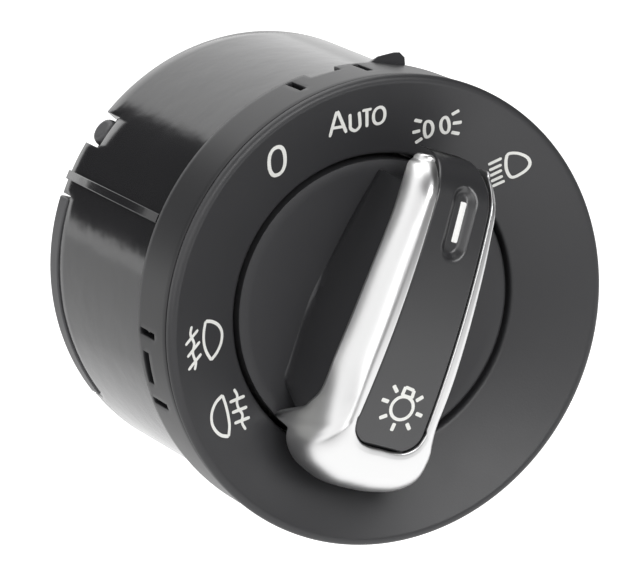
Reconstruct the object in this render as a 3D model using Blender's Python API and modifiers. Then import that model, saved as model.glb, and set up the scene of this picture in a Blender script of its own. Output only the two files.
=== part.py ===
"""Rotary headlight switch of a car's dash.

The model is in metres. World axes: +Y runs along the switch's axis, from the driver into the
dash, and +Z is up. Pieces are drawn in a front view, with x to the right, y up and z towards the
driver, counted from the plane where the mounting ring meets the dash. One empty turns that front
view upright. Angles round the axis are clockwise from the top as the driver sees them.
"""

from math import asin, atan2, cos, pi, radians, sin, sqrt

import bmesh
import bpy
from mathutils import Matrix, Vector

MM = 0.001

# Shared clearances and steps
SEAT_GAP = 0.3 * MM
SLIDE_GAP = 0.35 * MM
ROUND_STEPS = 48
SMALL_STEPS = 20
SCREW_MERGE = 0.00001

# Bezel, the dished ring that carries the symbols
BEZEL_R = 35.5 * MM
BEZEL_RIM_H = 11.8 * MM
BEZEL_RIM_ROUND = 0.9 * MM
BEZEL_RIM_DEPTH = 1.4 * MM
BEZEL_WALL = 1.6 * MM
BEZEL_KNOB_GAP = 0.7 * MM
BEZEL_HOLE_LIP = 0.05 * MM
BEZEL_COLLAR_WALL = 1.4 * MM
BEZEL_COLLAR_DEPTH = 3.5 * MM
BEZEL_SPIGOT_WALL = 1.4 * MM
BEZEL_SPIGOT_DEPTH = 1.8 * MM

# Mounting ring, whose rear edge seats on the dash
RING_SET_BACK = 0.2 * MM
RING_DRAFT = 0.2 * MM
RING_WALL = 1.4 * MM
RING_EDGE_ROUND = 0.15 * MM
TONGUE_HALF_ANGLE = 9.0
TONGUE_SLIT = 0.75 * MM
TONGUE_TOP_H = 6.0 * MM
TONGUE_FOOT_H = 1.0 * MM
WINDOW_HALF_ANGLE = 4.0
WINDOW_TOP_H = 3.3 * MM
WINDOW_FOOT_H = 1.4 * MM
SNAP_NOSE_PROUD = 0.7 * MM

# Housing, a can with a bearing plate across it
HOUSING_DRAFT = 0.32 * MM
HOUSING_WALL = 1.7 * MM
HOUSING_FRONT_GAP = 0.4 * MM
HOUSING_REAR_H = -35.3 * MM
PLATE_H = -3.9 * MM
PLATE_THICK = 1.8 * MM
COLLAR_WALL = 1.7 * MM
COLLAR_LONG = 5.9 * MM
RIB_ANGLE = -54.8
RIB_WIDE = 1.4 * MM
RIB_PROUD = 0.5 * MM
RIB_FRONT_H = -2.7 * MM
HOOK_ANGLE = -40.5
HOOK_NOTCH_WIDE = 5.6 * MM
HOOK_NOTCH_DEEP = 4.6 * MM
FLAP_ANGLE = 88.75
FLAP_HALF_ANGLE = 29.0
FLAP_STEP = 2.7 * MM
BOARD_STOP_DEEP = 2.0 * MM
BOARD_STOP_LONG = 2.2 * MM
BOARD_STOP_HALF_ANGLE = 5.0
BOARD_STOP_ANGLES = (5.0, 100.0, -60.0, -165.0)

# Rear cover with the socket for the wiring connector
COVER_THICK = 2.0 * MM
COVER_LIP = 2.3 * MM
COVER_PROUD = 0.5 * MM
HOOK_R = 2.2 * MM
SOCKET_WIDE = 28.0 * MM
SOCKET_HIGH = 11.0 * MM
SOCKET_DEEP = 14.0 * MM
SOCKET_WALL = 1.5 * MM
SOCKET_Y = -16.0 * MM
POST_R = 2.0 * MM
POST_INSET = 6.6 * MM
POST_ANGLES = (45.0, 110.0, -45.0, -110.0)
GUIDE_POST_R = 1.8 * MM
GUIDE_POST_Y = 16.0 * MM

# Connector terminals, in two rows
TERMINAL_COLUMNS = 5
TERMINAL_PITCH = 5.2 * MM
TERMINAL_ROW_GAP = 5.6 * MM
TERMINAL_WIDE = 2.8 * MM
TERMINAL_THICK = 0.8 * MM
TERMINAL_OUT = 10.0 * MM

# Circuit board and its lamps
BOARD_H = -16.8 * MM
BOARD_THICK = 1.6 * MM
BOARD_EDGE_GAP = 0.7 * MM
BOARD_HOLE_R = 8.2 * MM
LED_ANGLES = (-25.0, 58.0, 150.0, -95.0)
LED_INSET = 3.0 * MM
LED_WIDE = 3.2 * MM
LED_DEEP = 2.8 * MM
LED_TALL = 1.9 * MM

# Light guide behind the symbols
GUIDE_COLLAR_GAP = 0.8 * MM
GUIDE_WALL_GAP = 0.7 * MM
GUIDE_REAR_H = -0.15 * MM
GUIDE_LEG_R = 2.0 * MM

# Knob: a disc with a grip across it, on a splined stem
KNOB_REST_ANGLE = 29.7
KNOB_R = 22.1 * MM
KNOB_FACE_H = 6.9 * MM
KNOB_FACE_THICK = 2.0 * MM
KNOB_DISH = 0.7 * MM
KNOB_RIM_FLAT = 1.1 * MM
DISH_RINGS = 4
KNOB_SKIRT_WALL = 1.5 * MM
KNOB_SKIRT_DEPTH = 7.9 * MM
STEM_R = 6.0 * MM
STEM_END_H = -28.4 * MM
STEM_HEAD = 1.8 * MM
NECK_R = 4.6 * MM
NECK_LONG = 1.8 * MM
KEY_COUNT = 4
KEY_R = 7.2 * MM
KEY_WIDE = 2.0 * MM
KEY_FRONT_H = 2.0 * MM
KEY_REAR_H = -13.5 * MM

# Grip: its crowned top, the insert in it and the bright trim round it
GRIP_TOP_H = 24.6 * MM
GRIP_HALF = 11.0 * MM
GRIP_REACH = 26.0 * MM
GRIP_CROWN_SAG = 3.04 * MM
GRIP_CROWN_V = 4.0 * MM
NOSE_START_V = 18.5 * MM
NOSE_LONG = 6.4 * MM
NOSE_DROP = 7.6 * MM
INSERT_BULB_HALF = 5.6 * MM
INSERT_NOSE_HALF = 4.2 * MM
INSERT_CORNER_R = 3.4 * MM
INSERT_BULB_V = -18.4 * MM
INSERT_NOSE_V = 24.7 * MM
INSERT_NOSE_H = 11.4 * MM
INSERT_THICK = 1.2 * MM
INSERT_SUNK = 0.35 * MM
TRIM_THICK = 1.3 * MM
TRIM_RIDGE = 1.0 * MM
POINTER_WIDE = 1.1 * MM
POINTER_LONG = 6.0 * MM
POINTER_V = 16.7 * MM
POINTER_TALL = 3.0 * MM
GROOVE_WIDE = 3.6 * MM
GROOVE_LONG = 11.0 * MM
GROOVE_DEEP = 0.5 * MM

# Rotor that the stem slides in
ROTOR_JOURNAL_R = 9.0 * MM
ROTOR_LIP_R = 10.6 * MM
ROTOR_LIP_THICK = 1.2 * MM
ROTOR_FLANGE_GAP = 2.1 * MM
ROTOR_FLANGE_THICK = 2.0 * MM
ROTOR_TAIL = 1.2 * MM
LIP_SLOTS = 3
LIP_SLOT_WIDE = 1.4 * MM

# Detent between rotor and housing
DETENT_STEP = 27.7
DETENTS_BELOW = 2
DETENTS_ABOVE = 1
DETENT_ANGLE = -140.0
DETENT_R = 19.6 * MM
DETENT_DEEP = 0.6 * MM
DETENT_RING_WALL = 2.9 * MM
DETENT_RING_LONG = 5.0 * MM
DETENT_CAGE_WALL = 1.4 * MM
DETENT_CAGE_LONG = 4.0 * MM
PLUNGER_R = 1.4 * MM
PLUNGER_LONG = 3.9 * MM
PLUNGER_BEHIND_PLATE = 2.9 * MM
PLUNGER_BOSS_HALF = 3.1 * MM
PLUNGER_BOSS_WALL = 0.8 * MM
DETENT_WIRE = 0.2 * MM
DETENT_COIL_R = 1.1 * MM

# Wiper on the rotor
WIPER_IN_R = 9.8 * MM
WIPER_OUT_R = 15.4 * MM
WIPER_THICK = 0.4 * MM
WIPER_FINGERS = 3
WIPER_FINGER_LONG = 6.0 * MM
WIPER_FINGER_WIDE = 1.6 * MM

# Release ring and the two latches that hold the switch in the dash
RELEASE_GAP = 0.5 * MM
RELEASE_WALL = 1.4 * MM
RELEASE_THICK = 1.0 * MM
RELEASE_TURN = 6.0
RELEASE_EAR_WALL = 0.6 * MM
LATCH_ANGLES = {"upper": 20.0, "lower": -155.0}
LATCH_TRAVEL = 2.0 * MM
LATCH_PIN_R = 0.8 * MM
LATCH_PIN_OUT = 4.2 * MM
LATCH_REACH = 3.2 * MM
LATCH_HALF = 3.0 * MM
LATCH_THICK = 3.1 * MM
LATCH_ARM_HALF = 3.6 * MM
LATCH_ARM_END = 1.2 * MM
LATCH_POCKET_HALF = 1.5 * MM
LATCH_TIP_WALL = 3.0 * MM
LATCH_RAMP_SHARE = 0.3
LATCH_POST_THICK = 0.7 * MM
LATCH_RAIL_WIDE = 1.2 * MM
LATCH_RAIL_GAP = 0.9 * MM
LATCH_WIRE = 0.2 * MM
LATCH_COIL_R = 1.0 * MM

# Fog lamp slider, moved by pulling the knob
FOG_THICK = 1.2 * MM
FOG_HALF = 8.8 * MM
FOG_TOP_Y = 20.0 * MM
FOG_FOOT_Y = -5.0 * MM
FOG_CARD_X = 10.4 * MM
FOG_CARD_THICK = 1.2 * MM
FOG_CARD_LOW_Y = 2.0 * MM
FOG_CARD_HIGH_Y = 18.0 * MM
FOG_WIPER_THICK = 0.5 * MM
RETURN_WIRE = 0.35 * MM
RETURN_COIL_R = 7.3 * MM
RETURN_TURNS = 4

# Sizes that follow from those above
BEZEL_SEAM_H = BEZEL_RIM_H - BEZEL_RIM_DEPTH
BEZEL_HOLE_R = KNOB_R + BEZEL_KNOB_GAP
BEZEL_HOLE_H = KNOB_FACE_H + BEZEL_HOLE_LIP
RING_FRONT_R = BEZEL_R - RING_SET_BACK
RING_REAR_R = RING_FRONT_R - RING_DRAFT
RING_BORE_R = RING_FRONT_R - RING_WALL
RING_FRONT_H = BEZEL_SEAM_H - SEAT_GAP
HOUSING_R = RING_BORE_R - SEAT_GAP
HOUSING_FRONT_H = BEZEL_SEAM_H - BEZEL_SPIGOT_DEPTH - HOUSING_FRONT_GAP
POST_RING_R = HOUSING_R - POST_INSET
GUIDE_IN_R = BEZEL_HOLE_R + BEZEL_COLLAR_WALL + GUIDE_COLLAR_GAP
GUIDE_OUT_R = HOUSING_R - HOUSING_WALL - GUIDE_WALL_GAP
LED_RING_R = GUIDE_IN_R + LED_INSET
KNOB_DISH_R = KNOB_R - KNOB_RIM_FLAT
ROTOR_FLANGE_R = DETENT_R - ROTOR_FLANGE_GAP
RELEASE_BORE_R = KNOB_R + RELEASE_GAP
LATCH_PIN_RING_R = RELEASE_BORE_R + LATCH_PIN_OUT
LATCH_TIP_R = HOUSING_R + LATCH_REACH
LATCH_POCKET_OUT_R = LATCH_TIP_R - LATCH_TIP_WALL
LATCH_RAIL_END_R = HOUSING_R - HOUSING_WALL - LATCH_RAIL_GAP
PLATE_REAR_H = PLATE_H - PLATE_THICK
BEARING_R = ROTOR_JOURNAL_R + SLIDE_GAP
COLLAR_R = BEARING_R + COLLAR_WALL
COLLAR_END_H = PLATE_REAR_H - COLLAR_LONG
ROTOR_FLANGE_H = COLLAR_END_H - SLIDE_GAP
ROTOR_FLANGE_REAR_H = ROTOR_FLANGE_H - ROTOR_FLANGE_THICK
PLUNGER_H = PLATE_REAR_H - PLUNGER_BEHIND_PLATE
PLUNGER_TIP_R = DETENT_R - SLIDE_GAP
PLUNGER_BACK_R = PLUNGER_TIP_R - PLUNGER_LONG
BOARD_REAR_H = BOARD_H - BOARD_THICK
COVER_FRONT_H = HOUSING_REAR_H + COVER_THICK
NECK_REAR_H = STEM_END_H + STEM_HEAD
NECK_FRONT_H = NECK_REAR_H + NECK_LONG
FOG_FRONT_H = (NECK_REAR_H + NECK_FRONT_H + FOG_THICK) / 2
LATCH_FRONT_H = PLATE_H + SEAT_GAP + LATCH_THICK
SOCKET_FLOOR_H = HOUSING_REAR_H + SOCKET_DEEP
RELEASE_REAR_H = PLATE_H + SEAT_GAP
RELEASE_FRONT_H = RELEASE_REAR_H + RELEASE_THICK
RELEASE_SLOT_HALF = LATCH_PIN_R + SLIDE_GAP
RELEASE_EAR_R = LATCH_PIN_RING_R + RELEASE_SLOT_HALF + RELEASE_EAR_WALL
LATCH_SHOULDER_R = RELEASE_EAR_R + SEAT_GAP + LATCH_TRAVEL
LATCH_POST_IN_R = RELEASE_EAR_R + SLIDE_GAP
LATCH_POST_OUT_R = LATCH_POST_IN_R + LATCH_POST_THICK


def clear_scene():
    """Removes every object of the opened file."""
    for thing in list(bpy.data.objects):
        bpy.data.objects.remove(thing, do_unlink=True)


def collection(name):
    """A collection of this name under the scene."""
    group = bpy.data.collections.new(name)
    bpy.context.scene.collection.children.link(group)
    return group


clear_scene()
PARTS = collection("headlight_switch")
CUTTERS = collection("cutters")


def empty(name, parent=None, matrix=None):
    """A frame that pieces hang from."""
    frame = bpy.data.objects.new(name, None)
    frame.parent = parent
    frame.matrix_local = matrix or Matrix()
    PARTS.objects.link(frame)
    return frame


def round_the_axis(angle):
    """Turns the front view clockwise by this many degrees."""
    return Matrix.Rotation(-radians(angle), 4, "Z")


FRONT_VIEW = empty("front_view", None, Matrix.Rotation(pi / 2, 4, "X"))
ROTOR_AXIS = empty("rotor_axis", FRONT_VIEW)
KNOB_AXIS = empty("knob_axis", ROTOR_AXIS, round_the_axis(KNOB_REST_ANGLE))
PLUNGER_AXIS = empty("plunger_axis", ROTOR_AXIS, round_the_axis(DETENT_ANGLE))
LATCH_AXES = {
    side: empty(f"latch_axis_{side}", FRONT_VIEW, round_the_axis(angle))
    for side, angle in LATCH_ANGLES.items()
}


def material(name, colour, roughness, metallic=0.0):
    """A plain finish."""
    finish = bpy.data.materials.new(name)
    finish.use_nodes = True
    shader = finish.node_tree.nodes["Principled BSDF"]
    shader.inputs["Base Color"].default_value = (*colour, 1.0)
    shader.inputs["Roughness"].default_value = roughness
    shader.inputs["Metallic"].default_value = metallic
    return finish


MATT_BLACK = material("matt_black", (0.055, 0.055, 0.058), 0.55)
SATIN_BLACK = material("satin_black", (0.05, 0.05, 0.052), 0.4)
GLOSS_BLACK = material("gloss_black", (0.03, 0.03, 0.032), 0.15)
SATIN_CHROME = material("satin_chrome", (0.75, 0.75, 0.76), 0.25, 1.0)
WHITE_DIFFUSER = material("white_diffuser", (0.85, 0.85, 0.85), 0.4)
CLEAR_GUIDE = material("clear_guide", (0.8, 0.82, 0.82), 0.1)
NATURAL_ACETAL = material("natural_acetal", (0.8, 0.8, 0.76), 0.4)
BOARD_GREEN = material("board_green", (0.02, 0.16, 0.07), 0.45)
TINNED_BRASS = material("tinned_brass", (0.72, 0.68, 0.58), 0.3, 1.0)
SPRING_STEEL = material("spring_steel", (0.55, 0.55, 0.57), 0.35, 1.0)


def placed(name, mesh, finish=None, parent=FRONT_VIEW):
    """Makes a mesh into a piece with this finish, or into a cutter if it has none."""
    thing = bpy.data.objects.new(name, mesh)
    thing.parent = parent
    if finish is None:
        CUTTERS.objects.link(thing)
        thing.hide_render = True
        thing.display_type = "WIRE"
        return thing
    PARTS.objects.link(thing)
    mesh.materials.append(finish)
    mesh.shade_smooth()
    mesh.set_sharp_from_angle(angle=radians(35))
    return thing


def mesh_from(name, build):
    """A mesh filled in by a function of a bmesh."""
    shape = bmesh.new()
    build(shape)
    mesh = bpy.data.meshes.new(name)
    shape.to_mesh(mesh)
    shape.free()
    return mesh


def arc(centre, radius, start, end, count):
    """Points on an arc, in degrees counter-clockwise from the first axis."""
    turns = [radians(start + (end - start) * k / count) for k in range(count + 1)]
    return [(centre[0] + radius * cos(a), centre[1] + radius * sin(a)) for a in turns]


def turned(name, outline, finish=None, parent=FRONT_VIEW, steps=ROUND_STEPS):
    """Turns an outline of (radius, height) about the axis, top to bottom on its outer side."""
    closed = outline[0][0] > 0.0
    mesh = bpy.data.meshes.new(name)
    points = [(radius, 0.0, height) for radius, height in outline]
    edges = [(k, k + 1) for k in range(len(points) - 1)]
    if closed:
        edges.append((len(points) - 1, 0))
    mesh.from_pydata(points, edges, [])
    thing = placed(name, mesh, finish, parent)
    screw = thing.modifiers.new("turn", "SCREW")
    screw.steps = steps
    screw.render_steps = steps
    screw.use_merge_vertices = True
    screw.merge_threshold = SCREW_MERGE
    screw.use_smooth_shade = True
    return thing


def box(name, low, high, finish=None, parent=FRONT_VIEW, angle=0.0, tilt=None):
    """A box between two corners, turned about the axis, with a tilt of its own first."""
    low = Vector(low)
    high = Vector(high)
    size = high - low
    scale = Matrix.Diagonal((*size, 1.0))
    place = round_the_axis(angle) @ Matrix.Translation((low + high) / 2)
    place = place @ (tilt or Matrix()) @ scale
    mesh = mesh_from(name, lambda shape: bmesh.ops.create_cube(shape, size=1.0, matrix=place))
    return placed(name, mesh, finish, parent)


def rod(name, radius, low, high, at=(0.0, 0.0), finish=None, parent=FRONT_VIEW, steps=SMALL_STEPS):
    """A round rod along the axis, between two heights."""
    place = Matrix.Translation((at[0], at[1], (low + high) / 2))
    mesh = mesh_from(
        name,
        lambda shape: bmesh.ops.create_cone(
            shape,
            cap_ends=True,
            segments=steps,
            radius1=radius,
            radius2=radius,
            depth=high - low,
            matrix=place,
        ),
    )
    return placed(name, mesh, finish, parent)


def radial_rod(name, radius, inner, outer, height, angle=0.0, finish=None, parent=FRONT_VIEW):
    """A round rod that points away from the axis."""
    place = round_the_axis(angle) @ Matrix.Translation((0.0, (inner + outer) / 2, height))
    place = place @ Matrix.Rotation(pi / 2, 4, "X")
    mesh = mesh_from(
        name,
        lambda shape: bmesh.ops.create_cone(
            shape,
            cap_ends=True,
            segments=SMALL_STEPS,
            radius1=radius,
            radius2=radius,
            depth=outer - inner,
            matrix=place,
        ),
    )
    return placed(name, mesh, finish, parent)


def on_circle(radius, angle):
    """The front-view point at this radius and clock angle."""
    return (radius * sin(radians(angle)), radius * cos(radians(angle)))


def clock_arc(radius, start, end, count):
    """Points on a circle about the axis between two clock angles."""
    return [on_circle(radius, start + (end - start) * k / count) for k in range(count + 1)]


def plate(name, outlines, low, high, finish=None, parent=FRONT_VIEW):
    """A flat plate between two heights; outlines after the first are holes in it."""
    curve = bpy.data.curves.new(name, "CURVE")
    curve.dimensions = "2D"
    curve.fill_mode = "BOTH"
    curve.extrude = (high - low) / 2
    for outline in outlines:
        spline = curve.splines.new("POLY")
        spline.points.add(len(outline) - 1)
        for point, (x, y) in zip(spline.points, outline):
            point.co = (x, y, 0.0, 1.0)
        spline.use_cyclic_u = True
    drawn = bpy.data.objects.new(f"{name}_outline", curve)
    bpy.context.scene.collection.objects.link(drawn)
    bpy.context.view_layer.update()
    graph = bpy.context.evaluated_depsgraph_get()
    mesh = bpy.data.meshes.new_from_object(drawn.evaluated_get(graph))
    bpy.data.objects.remove(drawn, do_unlink=True)
    shape = bmesh.new()
    shape.from_mesh(mesh)
    bmesh.ops.remove_doubles(shape, verts=shape.verts, dist=SCREW_MERGE)
    bmesh.ops.translate(shape, verts=shape.verts, vec=(0.0, 0.0, (low + high) / 2))
    bmesh.ops.recalc_face_normals(shape, faces=shape.faces)
    shape.to_mesh(mesh)
    shape.free()
    mesh.name = name
    return placed(name, mesh, finish, parent)


def sector(name, inner, outer, angle, half_angle, low, high, finish=None, parent=FRONT_VIEW):
    """A plate bounded by two radii and two clock angles."""
    count = max(2, round(half_angle / 2.5))
    turns = [angle - half_angle + half_angle * 2 * k / count for k in range(count + 1)]
    outline = [on_circle(outer, a) for a in turns]
    outline += [on_circle(inner, a) for a in reversed(turns)]
    return plate(name, [outline], low, high, finish, parent)


def combine(piece, tools, operation):
    """Adds the tools to the piece, or cuts them from it."""
    for tool in tools:
        change = piece.modifiers.new(tool.name, "BOOLEAN")
        change.operation = operation
        change.object = tool
        change.solver = "EXACT"


def cut(piece, *tools):
    """Cuts the tools out of the piece."""
    combine(piece, tools, "DIFFERENCE")


def join(piece, *tools):
    """Joins the tools to the piece."""
    combine(piece, tools, "UNION")


def coil(name, radius, wire, turns, start, end, place, finish, parent):
    """A compression spring along the front view's z, from start to end, then placed."""
    curve = bpy.data.curves.new(name, "CURVE")
    curve.dimensions = "3D"
    curve.bevel_depth = wire
    curve.bevel_resolution = 0
    curve.use_fill_caps = True
    per_turn = 8
    count = int(turns * per_turn)
    spline = curve.splines.new("POLY")
    spline.points.add(count)
    for k, point in enumerate(spline.points):
        turn = 2 * pi * k / per_turn
        height = start + wire + (end - start - 2 * wire) * k / count
        point.co = (radius * cos(turn), radius * sin(turn), height, 1.0)
    drawn = bpy.data.objects.new(f"{name}_path", curve)
    bpy.context.scene.collection.objects.link(drawn)
    bpy.context.view_layer.update()
    graph = bpy.context.evaluated_depsgraph_get()
    mesh = bpy.data.meshes.new_from_object(drawn.evaluated_get(graph))
    bpy.data.objects.remove(drawn, do_unlink=True)
    shape = bmesh.new()
    shape.from_mesh(mesh)
    bmesh.ops.remove_doubles(shape, verts=shape.verts, dist=SCREW_MERGE)
    bmesh.ops.recalc_face_normals(shape, faces=shape.faces)
    bmesh.ops.transform(shape, matrix=place, verts=shape.verts)
    shape.to_mesh(mesh)
    shape.free()
    return placed(name, mesh, finish, parent)


def bezel_face(radius):
    """Height of the bezel's dished face at a radius."""
    rim_r = BEZEL_R - 2 * BEZEL_RIM_ROUND
    rim_h = BEZEL_RIM_H - BEZEL_RIM_ROUND / 3
    slope = (rim_h - BEZEL_HOLE_H) / (rim_r - BEZEL_HOLE_R)
    return BEZEL_HOLE_H + slope * (radius - BEZEL_HOLE_R)


def make_bezel():
    """Dished ring with a rounded rim, a collar for the knob and a spigot for the ring."""
    rim_centre = (BEZEL_R - BEZEL_RIM_ROUND, BEZEL_RIM_H - BEZEL_RIM_ROUND)
    spigot_r = RING_BORE_R - SEAT_GAP
    spigot_in_r = spigot_r - BEZEL_SPIGOT_WALL
    collar_r = BEZEL_HOLE_R + BEZEL_COLLAR_WALL
    collar_h = BEZEL_HOLE_H - BEZEL_COLLAR_DEPTH
    lip = BEZEL_COLLAR_WALL / 4
    outline = arc(rim_centre, BEZEL_RIM_ROUND, 128, 0, 5)
    outline += [
        (RING_FRONT_R, BEZEL_SEAM_H),
        (spigot_r, BEZEL_SEAM_H),
        (spigot_r, BEZEL_SEAM_H - BEZEL_SPIGOT_DEPTH),
        (spigot_in_r, BEZEL_SEAM_H - BEZEL_SPIGOT_DEPTH),
        (spigot_in_r, bezel_face(spigot_in_r) - BEZEL_WALL),
        (collar_r, bezel_face(collar_r) - BEZEL_WALL),
        (collar_r, collar_h),
        (BEZEL_HOLE_R, collar_h),
        (BEZEL_HOLE_R, BEZEL_HOLE_H - lip),
        (BEZEL_HOLE_R + lip, bezel_face(BEZEL_HOLE_R + lip)),
    ]
    return turned("bezel", outline, MATT_BLACK)


def make_mounting_ring():
    """Plain ring with four snap tongues between slits; its rear edge seats on the dash."""
    outline = [
        (RING_FRONT_R - RING_EDGE_ROUND, RING_FRONT_H),
        (RING_FRONT_R, RING_FRONT_H - RING_EDGE_ROUND),
        (RING_REAR_R, RING_EDGE_ROUND),
        (RING_REAR_R - RING_EDGE_ROUND, 0.0),
        (RING_BORE_R, 0.0),
        (RING_BORE_R, RING_FRONT_H),
    ]
    ring = turned("mounting_ring", outline, SATIN_BLACK)
    inner = RING_BORE_R - 1.0 * MM
    outer = RING_FRONT_R + 1.0 * MM
    window_half = RING_BORE_R * sin(radians(WINDOW_HALF_ANGLE))
    for quarter in range(4):
        middle = 90.0 * quarter
        for side in (-1, 1):
            slit = box(
                f"tongue_slit_{quarter}_{side}",
                (-TONGUE_SLIT / 2, inner, TONGUE_FOOT_H),
                (TONGUE_SLIT / 2, outer, TONGUE_TOP_H),
                angle=middle + side * TONGUE_HALF_ANGLE,
            )
            cut(ring, slit)
        foot = -1.0 * MM if quarter % 2 == 0 else WINDOW_FOOT_H
        window = box(
            f"tongue_window_{quarter}",
            (-window_half, inner, foot),
            (window_half, outer, WINDOW_TOP_H),
            angle=middle,
        )
        cut(ring, window)
    return ring


def make_housing():
    """Can with a bearing plate, the detent's cage, latch slots and a clipped rear edge."""
    rear_r = HOUSING_R - HOUSING_DRAFT
    bore_front = HOUSING_R - HOUSING_WALL
    bore_rear = rear_r - HOUSING_WALL
    cage_in = DETENT_R + DETENT_RING_WALL + SEAT_GAP
    cage_out = cage_in + DETENT_CAGE_WALL
    cage_end = PLATE_REAR_H - DETENT_CAGE_LONG
    chamfer = 0.3 * MM
    outline = [
        (HOUSING_R - chamfer, HOUSING_FRONT_H),
        (HOUSING_R, HOUSING_FRONT_H - chamfer),
        (rear_r, HOUSING_REAR_H + chamfer),
        (rear_r - chamfer, HOUSING_REAR_H),
        (bore_rear, HOUSING_REAR_H),
        (bore_front, PLATE_REAR_H),
        (cage_out, PLATE_REAR_H),
        (cage_out, cage_end),
        (cage_in, cage_end),
        (cage_in, PLATE_REAR_H),
        (COLLAR_R, PLATE_REAR_H),
        (COLLAR_R, COLLAR_END_H),
        (BEARING_R, COLLAR_END_H),
        (BEARING_R, PLATE_H),
        (bore_front, PLATE_H),
        (bore_front, HOUSING_FRONT_H),
    ]
    housing = turned("housing", outline, GLOSS_BLACK)
    add_housing_outside(housing, rear_r)
    add_housing_inside(housing, bore_rear)
    return housing


def add_housing_outside(housing, rear_r):
    """The rib, the snap noses, and the openings in the wall."""
    half_wall = HOUSING_WALL / 2
    rib = box(
        "housing_rib",
        (-RIB_WIDE / 2, rear_r - half_wall, HOUSING_REAR_H + SEAT_GAP / 2),
        (RIB_WIDE / 2, rear_r + RIB_PROUD, RIB_FRONT_H),
        angle=RIB_ANGLE,
    )
    join(housing, rib)
    for angle in (-90.0, 90.0):
        nose = sector(
            f"snap_nose_{angle:.0f}",
            HOUSING_R - half_wall,
            HOUSING_R + SNAP_NOSE_PROUD,
            angle,
            WINDOW_HALF_ANGLE - 1.0,
            WINDOW_FOOT_H + SLIDE_GAP,
            WINDOW_TOP_H - SLIDE_GAP,
        )
        join(housing, nose)
    beyond = 2.0 * MM
    hook_notch = box(
        "hook_notch",
        (-HOOK_NOTCH_WIDE / 2, rear_r - HOUSING_WALL - beyond, HOUSING_REAR_H - beyond),
        (HOOK_NOTCH_WIDE / 2, rear_r + beyond, HOUSING_REAR_H + HOOK_NOTCH_DEEP),
        angle=HOOK_ANGLE,
    )
    cut(housing, hook_notch)
    for side in (-1, 1):
        flap_step = sector(
            f"flap_step_{side}",
            rear_r - HOUSING_WALL - beyond,
            rear_r + beyond,
            side * FLAP_ANGLE,
            FLAP_HALF_ANGLE,
            HOUSING_REAR_H - beyond,
            HOUSING_REAR_H + FLAP_STEP,
        )
        cut(housing, flap_step)
    for side, angle in LATCH_ANGLES.items():
        half = LATCH_HALF + SLIDE_GAP
        slot = box(
            f"latch_slot_{side}",
            (-half, HOUSING_R - HOUSING_WALL - beyond, PLATE_H),
            (half, HOUSING_R + beyond, LATCH_FRONT_H + SLIDE_GAP),
            angle=angle,
        )
        cut(housing, slot)


def add_housing_inside(housing, bore_rear):
    """Latch rails and posts on the plate, the board's stops and the lamps' light holes."""
    root_h = PLATE_H - PLATE_THICK / 2
    top_h = LATCH_FRONT_H - SEAT_GAP
    for side, axis in LATCH_AXES.items():
        inner = LATCH_ARM_HALF + SLIDE_GAP
        for hand in (-1, 1):
            near = hand * inner
            far = hand * (inner + LATCH_RAIL_WIDE)
            rail = box(
                f"latch_rail_{side}_{hand}",
                (min(near, far), LATCH_POST_IN_R, root_h),
                (max(near, far), LATCH_RAIL_END_R, top_h),
                parent=axis,
            )
            join(housing, rail)
        post = box(
            f"latch_post_{side}",
            (-LATCH_POCKET_HALF + SLIDE_GAP, LATCH_POST_IN_R, root_h),
            (LATCH_POCKET_HALF - SLIDE_GAP, LATCH_POST_OUT_R, top_h),
            parent=axis,
        )
        join(housing, post)
    for k, angle in enumerate(BOARD_STOP_ANGLES):
        stop = sector(
            f"board_stop_{k}",
            bore_rear - BOARD_STOP_DEEP,
            bore_rear + HOUSING_WALL / 2,
            angle,
            BOARD_STOP_HALF_ANGLE,
            BOARD_H + SEAT_GAP,
            BOARD_H + SEAT_GAP + BOARD_STOP_LONG,
        )
        join(housing, stop)
    for k, angle in enumerate(LED_ANGLES):
        hole = rod(
            f"light_hole_{k}",
            GUIDE_LEG_R + SLIDE_GAP,
            PLATE_REAR_H - 1.0 * MM,
            PLATE_H + 1.0 * MM,
            on_circle(LED_RING_R, angle),
        )
        cut(housing, hole)


def make_rear_cover():
    """Rear lid with lips in the housing's steps, a snap hook, posts and the socket's well."""
    rear_r = HOUSING_R - HOUSING_DRAFT
    lid_r = rear_r - HOUSING_WALL - SEAT_GAP
    outline = [
        (0.0, COVER_FRONT_H),
        (lid_r, COVER_FRONT_H),
        (lid_r, HOUSING_REAR_H),
        (0.0, HOUSING_REAR_H),
    ]
    cover = turned("rear_cover", outline, SATIN_BLACK)
    lip_front = HOUSING_REAR_H + FLAP_STEP - SEAT_GAP
    for side in (-1, 1):
        lip = sector(
            f"cover_lip_{side}",
            lid_r - COVER_LIP,
            rear_r + SEAT_GAP / 2,
            side * FLAP_ANGLE,
            FLAP_HALF_ANGLE - 0.6,
            HOUSING_REAR_H - COVER_PROUD,
            lip_front,
        )
        join(cover, lip)
    hook = radial_rod(
        "cover_hook",
        HOOK_R,
        lid_r - COVER_LIP,
        rear_r,
        HOUSING_REAR_H + HOOK_R - SEAT_GAP,
        HOOK_ANGLE,
    )
    join(cover, hook)
    add_socket(cover)
    for k, angle in enumerate(POST_ANGLES):
        post = rod(
            f"board_post_{k}",
            POST_R,
            COVER_FRONT_H - COVER_THICK / 2,
            BOARD_REAR_H - SEAT_GAP,
            on_circle(POST_RING_R, angle),
        )
        join(cover, post)
    guide_post = rod(
        "slider_post",
        GUIDE_POST_R,
        COVER_FRONT_H - COVER_THICK / 2,
        BOARD_REAR_H - SEAT_GAP,
        (0.0, GUIDE_POST_Y),
    )
    join(cover, guide_post)
    return cover


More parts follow.
